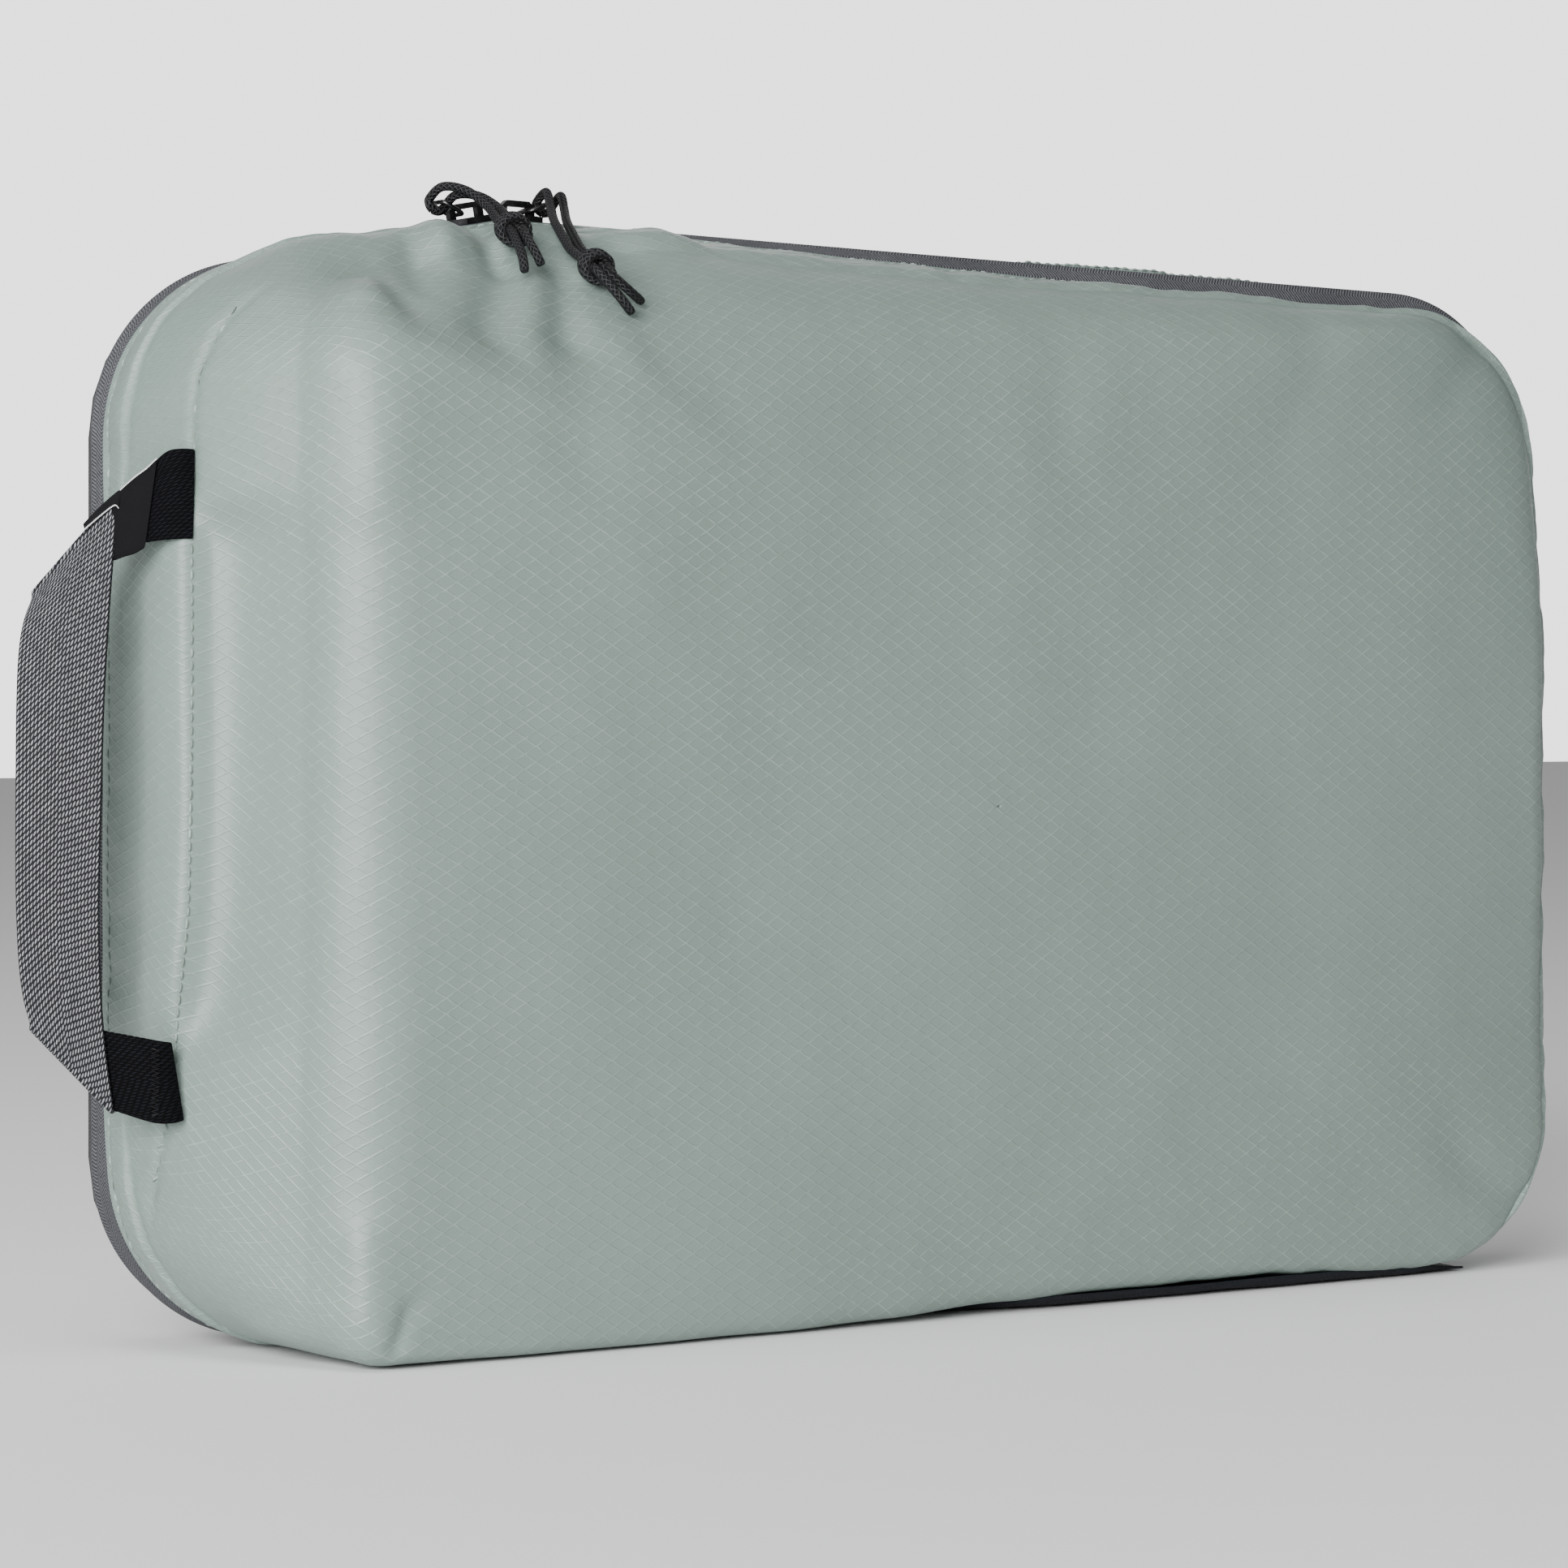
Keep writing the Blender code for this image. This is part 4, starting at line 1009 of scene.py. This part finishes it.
def slider_axes(side):
    """A slider's own axes: X away from the crest, Z out of the zip."""
    crest = Vector((CREST_X, 0.0, CREST_Z))
    far = Vector((side * HALF, 0.0, HANDLE_END_Z if side < 0 else FAR_END_Z))
    heading = (far - crest).normalized()
    across = Vector((0, 1, 0)) * side
    up = heading.cross(across)
    axes = Matrix((heading, across, up)).transposed().to_4x4()
    axes.translation = crest + heading * SLIDER_OFFSET - up * 0.0006
    return axes


def build_slider(prefix, mats):
    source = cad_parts[prefix + "_slider"]
    slider = new_object(prefix + "_slider_body", source.data.copy())
    modifier(slider, "BEVEL", width=0.00035, segments=3, limit_method="ANGLE")
    slider.data.shade_smooth()
    place(slider, prefix + "_slider", "zip_metal", mats["metal"], (prefix + "_slider",))


def build_pull(side, prefix, mats):
    axes = slider_axes(side)
    pivot = axes @ BAIL_PIVOT
    tilt = Matrix.Rotation(-BAIL_RISE[side], 4, "Y")
    plane = Matrix.Translation(pivot) @ axes.to_3x3().to_4x4() @ tilt
    half, corner = BAIL_WIDTH / 2, BAIL_CORNER
    loop = []
    far, wide = BAIL_LENGTH - corner, half - corner
    for x, y, start in ((far, wide, 0), (corner, wide, 90), (corner, -wide, 180), (far, -wide, 270)):
        for k in range(7):
            turn = math.radians(start + 15 * k)
            loop.append(plane @ Vector((x + corner * math.cos(turn), y + corner * math.sin(turn), 0)))
    bail = mesh_object(prefix + "_wire_bail", *tube_parts(loop, BAIL_WIRE, 10, closed=True))
    place(bail, prefix + "_pull", "zip_metal", mats["bail"], (prefix + "_bail",))

    axis = (axes.to_3x3() @ Vector((0, 1, 0))).normalized()
    bar = plane @ Vector((BAIL_LENGTH, 0, 0))
    route, tails = (LEFT_ROUTE, LEFT_TAILS) if side < 0 else (RIGHT_ROUTE, RIGHT_TAILS)
    line = [bar + in_metres(step) for step in route]
    heading = (line[-1] - line[-2]).normalized()
    beside = heading.cross(Vector((0, 0, 1))).normalized()
    knot_centre = line[-1] + heading * (0.0003 + KNOT_LENGTH / 2)
    knot_end = knot_centre + heading * (KNOT_LENGTH / 2 + 0.0006)
    leave = line[0] - bar
    leave = (leave - axis * leave.dot(axis)).normalized()
    side_step = axis.cross(leave)
    if side_step.dot(beside) < 0:
        side_step = -side_step
    for sign, mark, reach in ((1, "a", tails[0]), (-1, "b", tails[1])):
        points = [bar - leave * BIGHT_RADIUS]
        points.append(bar + (side_step * sign - leave) * (BIGHT_RADIUS * 0.7071))
        points.append(bar + side_step * (sign * BIGHT_RADIUS))
        for k, point in enumerate(line):
            share = (k + 1) / len(line)
            offset = side_step.lerp(beside, smooth(share)).normalized()
            spread = BIGHT_RADIUS + (STRAND_SPACING / 2 - BIGHT_RADIUS) * share
            points.append(point + offset * (sign * spread))
        start = knot_end + beside * (sign * STRAND_SPACING / 2)
        end = knot_end + in_metres(reach)
        points.append(knot_centre + beside * (sign * STRAND_SPACING / 2))
        points.append(start)
        points.append(start.lerp(end, 0.5) + heading * (0.2 * (end - start).length))
        points.append(end)
        path = smooth_curve(points, 6)
        sizes = [CORD_RADIUS] * len(path)
        sizes[-1] = CORD_RADIUS * 0.86
        cord = mesh_object(prefix + "_cord_" + mark, *tube_parts(path, sizes, 14))
        replaced = [prefix + "_pull_tail_" + mark]
        if mark == "a":
            replaced.append(prefix + "_pull_loop")
        place(cord, prefix + "_pull", "pull_cord", mats["cord"], replaced)

    # The overhand knot: both strands wound once round and tucked through.
    normal = heading.cross(beside)
    parts = []
    for lane in (-0.5, 0.5):
        winding = []
        for k in range(KNOT_STEPS + 1):
            t = k / KNOT_STEPS
            turn = 2 * math.pi * (KNOT_TURNS * t) + 0.5
            out = 0.0026 * smooth(t * 7) * smooth((1 - t) * 7) + 0.0004
            along = (t - 0.5) * 0.0042 + lane * 0.0021 + 0.0007 * math.sin(turn)
            wide, tall = out * math.cos(turn) * 1.12, out * math.sin(turn) * 0.9
            winding.append(knot_centre + heading * along + beside * wide + normal * tall)
        parts.append(tube_parts(winding, CORD_RADIUS * 1.04, 12))
    knot = mesh_object(prefix + "_overhand_knot", *join_parts(parts))
    place(knot, prefix + "_pull", "pull_cord", mats["cord"], (prefix + "_pull_knot",))


# ---- the carry handle ------------------------------------
# The strap hangs upright and is folded back at 45 degrees at both ends, which
# run behind it to the seam. It is laid out in an upright plane of its own, in
# millimetres: distance out from the seam, height, and layer toward the front.
STRAP_THICK = 0.0013
STRAP_WIDTH = 0.020
FOLD_BOW = 0.00075        # how far a tight fold stands out past its fold line
STRAP_SEAM = Vector((-0.1916, -0.0374, 0.0))
STRAP_OUT = Vector((-0.853, 0.522, 0.0))
STRAP_FACE = Vector((-0.522, -0.853, 0.0))

# Rungs across the strap: one edge, then the other, each as above; then the run
# along the strap at each edge.
UPPER_RUNGS = (
    ((-1.0, 183.8, 0.6), (-1.0, 204, -0.8), -59.5, -23.5),
    ((2.0, 183.8, 1.4), (1.6, 204.1, 1.0), -56.5, -20.5),
    ((8.0, 183.2, 2.0), (4.8, 203.4, 1.4), -50.5, -17.5),
    ((16.0, 181.5, 1.1), (8.5, 200, 1.0), -42.5, -13),
    ((26.0, 177, -0.1), (13.0, 196.2, 0.0), -31.5, -7.2),
    ((34.6, 171.3, -0.6), (15.7, 193, -0.5), -21.4, -3),
)
FRONT_RUNGS = (
    ((34.9, 170.9, 1.0), (15.9, 192.5, 1.0), -19.4, 0),
    ((36.9, 165.5, 1.6), (16.4, 183, 1.5), -9, 9.2),
    ((38.0, 158, 2.2), (17.3, 170, 2.1), 1, 22.2),
    ((38.4, 145, 2.8), (18.5, 148, 2.8), 16, 44.2),
    ((38.5, 125, 3.0), (19.1, 125, 3.0), 37, 67.2),
    ((38.5, 105, 2.8), (19.7, 102, 2.8), 58, 90.2),
    ((38.0, 90, 2.2), (19.3, 82, 2.2), 73, 110.2),
    ((37.0, 81.2, 1.6), (18.3, 69, 1.6), 81.8, 123.2),
    ((35.4, 75.2, 1.0), (16.6, 56, 1.0), 88.2, 136.2),
)
LOWER_RUNGS = (
    ((35.1, 74.9, -0.6), (16.4, 55.8, -0.5), 90.2, 138.2),
    ((26.0, 75, -0.1), (13.0, 54.8, 0.0), 99.4, 141.6),
    ((17.0, 73.6, 0.8), (9.5, 53.8, 0.8), 108.4, 145.1),
    ((10.0, 72.4, 1.4), (6.5, 53.2, 1.4), 115.4, 148.1),
    ((6.0, 71.6, 0.6), (3.4, 53.2, 0.4), 119.4, 151.2),
    ((4.4, 71.2, -1.2), (1.6, 53.6, -1.6), 121.4, 153.2),
)


def strap_point(spot):
    out, height, front = (value / 1000 for value in spot)
    return STRAP_SEAM + STRAP_OUT * out + STRAP_FACE * front + Vector((0, 0, height))


def fold_turn(before, after, away):
    """Rungs round a tight fold between two layers that share a fold line."""
    rungs = []
    for k in range(1, 6):
        share = k / 6
        bow = away * math.sin(math.pi * share) * FOLD_BOW
        left, right = (before[edge].lerp(after[edge], share) + bow for edge in (0, 1))
        run_left, run_right = (before[i] + (after[i] - before[i]) * share for i in (2, 3))
        rungs.append((left, right, run_left, run_right))
    return rungs


def strap_rungs():
    """All rungs along the strap, smoothly spaced: left, right, and the run at each."""
    parts = []
    for group in (UPPER_RUNGS, FRONT_RUNGS, LOWER_RUNGS):
        lefts = smooth_curve([strap_point(rung[0]) for rung in group], 8)
        rights = smooth_curve([strap_point(rung[1]) for rung in group], 8)
        runs = smooth_curve([in_metres(rung[2:]) for rung in group], 8)
        parts.append([(left, right, run.x, run.y) for left, right, run in zip(lefts, rights, runs)])
    upper, front, lower = parts
    high = (STRAP_OUT * 0.75 + Vector((0, 0, 0.66))).normalized()
    low = (STRAP_OUT * 0.70 - Vector((0, 0, 0.71))).normalized()
    upper_fold = fold_turn(upper[-1], front[0], high)
    lower_fold = fold_turn(front[-1], lower[0], low)
    return upper + upper_fold + front + lower_fold + lower


def strap_sheet(rungs, offset, columns=17):
    points = np.zeros((len(rungs), columns, 3))
    uvs = np.zeros((len(rungs), columns, 2))
    for j, (left, right, run_left, run_right) in enumerate(rungs):
        for i in range(columns):
            share = i / (columns - 1)
            points[j, i] = left.lerp(right, share)
            run = run_left + (run_right - run_left) * share
            uvs[j, i] = (run, (share - 0.5) * STRAP_WIDTH)
    for _ in range(2):
        points[1:-1] = (points[:-2] + points[1:-1] * 2 + points[2:]) / 4
    normals = grid_normals(points, False)
    return points + normals * offset, uvs


def sew_on(obj, slot, mat, replaced=()):
    """Gives a handle piece its material, hides the parts it replaces and bakes its placing into its
    mesh.
    """
    place(obj, None, slot, mat, replaced)
    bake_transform(obj)


LABEL_LENGTH = 0.0240     # between its cut ends; each sheet below shows one of them
LABEL_SPOTS = (
    # near the seam: top, then bottom; and on toward the fold
    ((6.6, 202.4, 2.7), (9.4, 181.8, 3.2)),
    ((9.0, 200.1, 2.7), (11.6, 180.5, 3.0)),
    ((11.6, 198.2, 2.5), (14.0, 179.8, 2.6)),
    ((14.2, 196, 2.1), (16.4, 179, 2.0)),
    ((17.0, 193.4, 1.8), (17.6, 179, 1.5)),
)
# The label's cut end, turned over the fold.
LABEL_LIP = (
    ((14.8, 195.3, 1.9), (15.4, 190.5, 2.3)),
    ((17.0, 193.6, 2.0), (16.4, 191.2, 2.4)),
    ((20.0, 190.9, 2.0), (19.4, 189, 2.4)),
    ((23.6, 187.2, 1.8), (23.2, 185.8, 2.2)),
)


def label_sheet(name, spots, cut_at_foot):
    """A satin strip from rungs of two points, its pale cut end at the top or the foot."""
    tops = smooth_curve([strap_point(top) for top, _ in spots], 6)
    feet = smooth_curve([strap_point(foot) for _, foot in spots], 6)
    points = np.zeros((len(tops), 9, 3))
    uvs = np.zeros((len(tops), 9, 2))
    for j, (top, foot) in enumerate(zip(tops, feet)):
        width = (foot - top).length
        before = LABEL_LENGTH - width if cut_at_foot else 0.0
        for i in range(9):
            points[j, i] = top.lerp(foot, i / 8)
            uvs[j, i] = (before + i / 8 * width, j / len(tops) * 0.01)
    return cloth_sheet(name, points, uvs, False, 0.0003)


# The bar tacks' zigzags: name, distance out, lowest and highest point, front.
TACKS = (("upper", 3.6, 185.5, 202.6, 1.25), ("lower", 7.2, 55, 70, 2.05))
TACK_TURNS = 30


def build_handle(mats):
    rungs = strap_rungs()
    for name, side, mat, replaced in (("outer", 1, "webbing", ("handle_strap",)),
                                      ("inner", -1, "webbing_black", ())):
        points, uvs = strap_sheet(rungs, side * STRAP_THICK * 0.5)
        half = cloth_sheet("handle_webbing_" + name, points, uvs, False, STRAP_THICK * 0.5,
                           flip=side < 0)
        sew_on(half, "handle_webbing", mats[mat], replaced)
    label = label_sheet("handle_blank_label", LABEL_SPOTS, False)
    sew_on(label, "handle_label", mats["label"], ("handle_label",))
    sew_on(label_sheet("handle_label_lip", LABEL_LIP, True), "handle_label", mats["label"])
    for mark, out, low, high, front in TACKS:
        path = []
        for k in range(TACK_TURNS + 1):
            height = low + (high - low) * k / TACK_TURNS
            path.append(strap_point((out + 0.8 * (-1) ** k, height, front)))
        tack = mesh_object("handle_tack_thread_" + mark, *tube_parts(path, 0.00022, 6))
        sew_on(tack, "tack_thread", mats["tack"], ("handle_bar_tack_" + mark,))


# ---- carried-over CAD pieces -----------------------------
def dress_cad(mats):
    stops = [f"{tape}_zip_stop_{end}" for tape in ("body", "lid") for end in ("near", "far")]
    for node in ["lid_seam_binding"] + stops:
        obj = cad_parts[node]
        obj.data.materials.clear()
        obj.data.materials.append(mats["metal" if node in stops else "binding"])


# ---- stage, light and camera -----------------------------
def area_light(name, place_at, target, size, energy):
    data = bpy.data.lights.new(name, "AREA")
    data.shape = "RECTANGLE"
    data.size, data.size_y = size
    data.energy = energy
    obj = new_object(name, data)
    obj.location = place_at
    obj.rotation_euler = (Vector(target) - Vector(place_at)).to_track_quat("-Z", "Y").to_euler()


def build_stage():
    bpy.ops.mesh.primitive_plane_add(size=12.0, location=(0, 0, -0.0005))
    floor = bpy.context.active_object
    floor.name = "floor"
    s = Shader("floor", (0.93, 0.93, 0.93), 0.9)
    floor.data.materials.append(s.mat)
    world = bpy.data.worlds.new("studio")
    world.use_nodes = True
    tree = world.node_tree
    # a bright wall behind the cube, a dimmer room in front of it
    coords = tree.nodes.new("ShaderNodeTexCoord")
    facing = tree.nodes.new("ShaderNodeVectorMath")
    facing.operation = "DOT_PRODUCT"
    facing.inputs[1].default_value = (0.488, 0.873, 0.0)
    spread = tree.nodes.new("ShaderNodeMapRange")
    spread.interpolation_type = "SMOOTHSTEP"
    for name, value in (("From Min", 0.78), ("From Max", 0.95), ("To Min", 0.22), ("To Max", 2.4)):
        spread.inputs[name].default_value = value
    tree.nodes["Background"].inputs[0].default_value = (1.0, 1.0, 1.0, 1.0)
    tree.links.new(coords.outputs["Generated"], facing.inputs[0])
    tree.links.new(facing.outputs["Value"], spread.inputs["Value"])
    tree.links.new(spread.outputs[0], tree.nodes["Background"].inputs[1])
    bpy.context.scene.world = world
    area_light("key", (-1.95, -1.62, 0.9), (0, 0, 0.12), (1.7, 1.3), 124.0)
    area_light("top", (-0.6, -0.3, 2.2), (0, 0, 0.12), (1.4, 1.0), 16.0)


def build_camera():
    data = bpy.data.cameras.new("camera")
    data.lens, data.sensor_width = 130.4, 36.0
    data.shift_y = -0.0782
    data.clip_start = 0.05
    camera = new_object("camera", data)
    camera.location = Vector((-0.6951, -1.2111, 0.1565)) + SHIFT
    camera.rotation_euler = (math.radians(90), 0.0, math.radians(-29.2))
    bpy.context.scene.camera = camera


def main():
    build_camera()
    mats = {
        # the ripstop's second colour is a painted highlight for its grid yarns; the third is its
        # darker cloudy tone
        "ripstop": ripstop_material("sage_ripstop", (0.200, 0.262, 0.236), (0.38, 0.46, 0.43),
                                    (0.182, 0.240, 0.214)),
        "thread": plain_weave_material("sage_thread", (0.20, 0.25, 0.225), 0.6, 0.0004),
        "tape": tape_material("zip_tape_weave", (0.150, 0.152, 0.166), (0.010, 0.011, 0.014), 0.00085),
        "coil": plain_weave_material("nylon_coil", (0.012, 0.012, 0.014), 0.35, 0.0004, 0.0),
        "hinge": tape_material("hinge_binding_weave", (0.010, 0.012, 0.018), (0.002, 0.003, 0.005)),
        "metal": metal_material("dark_zip_metal", (0.030, 0.030, 0.032), 0.38),
        "bail": metal_material("bail_wire_metal", (0.050, 0.050, 0.052), 0.30),
        "cord": braid_material(),
        "webbing": webbing_material("grey_webbing", (0.34, 0.345, 0.365), (0.006, 0.006, 0.008)),
        "webbing_black": webbing_material("black_webbing", (0.008, 0.0085, 0.012),
                                          (0.0005, 0.0005, 0.0008), 0.85, 0.10),
        "label": label_material("charcoal_satin", (0.005, 0.005, 0.006), (0.62, 0.62, 0.62),
                                LABEL_LENGTH),
        "tack": plain_weave_material("black_thread", (0.002, 0.002, 0.0025), 0.9, 0.0004, 0.0),
        "binding": plain_weave_material("black_binding", (0.006, 0.006, 0.008), 0.8, 0.0008),
    }
    for side, prefix in ((-1, "left"), (1, "right")):
        build_slider(prefix, mats)
        build_pull(side, prefix, mats)
    build_body(mats)
    build_lid(mats)
    build_tape(-1, "body", "root", mats)
    build_tape(1, "lid", "lid", mats)
    build_seam_binding(mats)
    build_hinge_strip(mats)
    build_handle(mats)
    dress_cad(mats)
    build_stage()
    bpy.context.view_layer.update()


main()
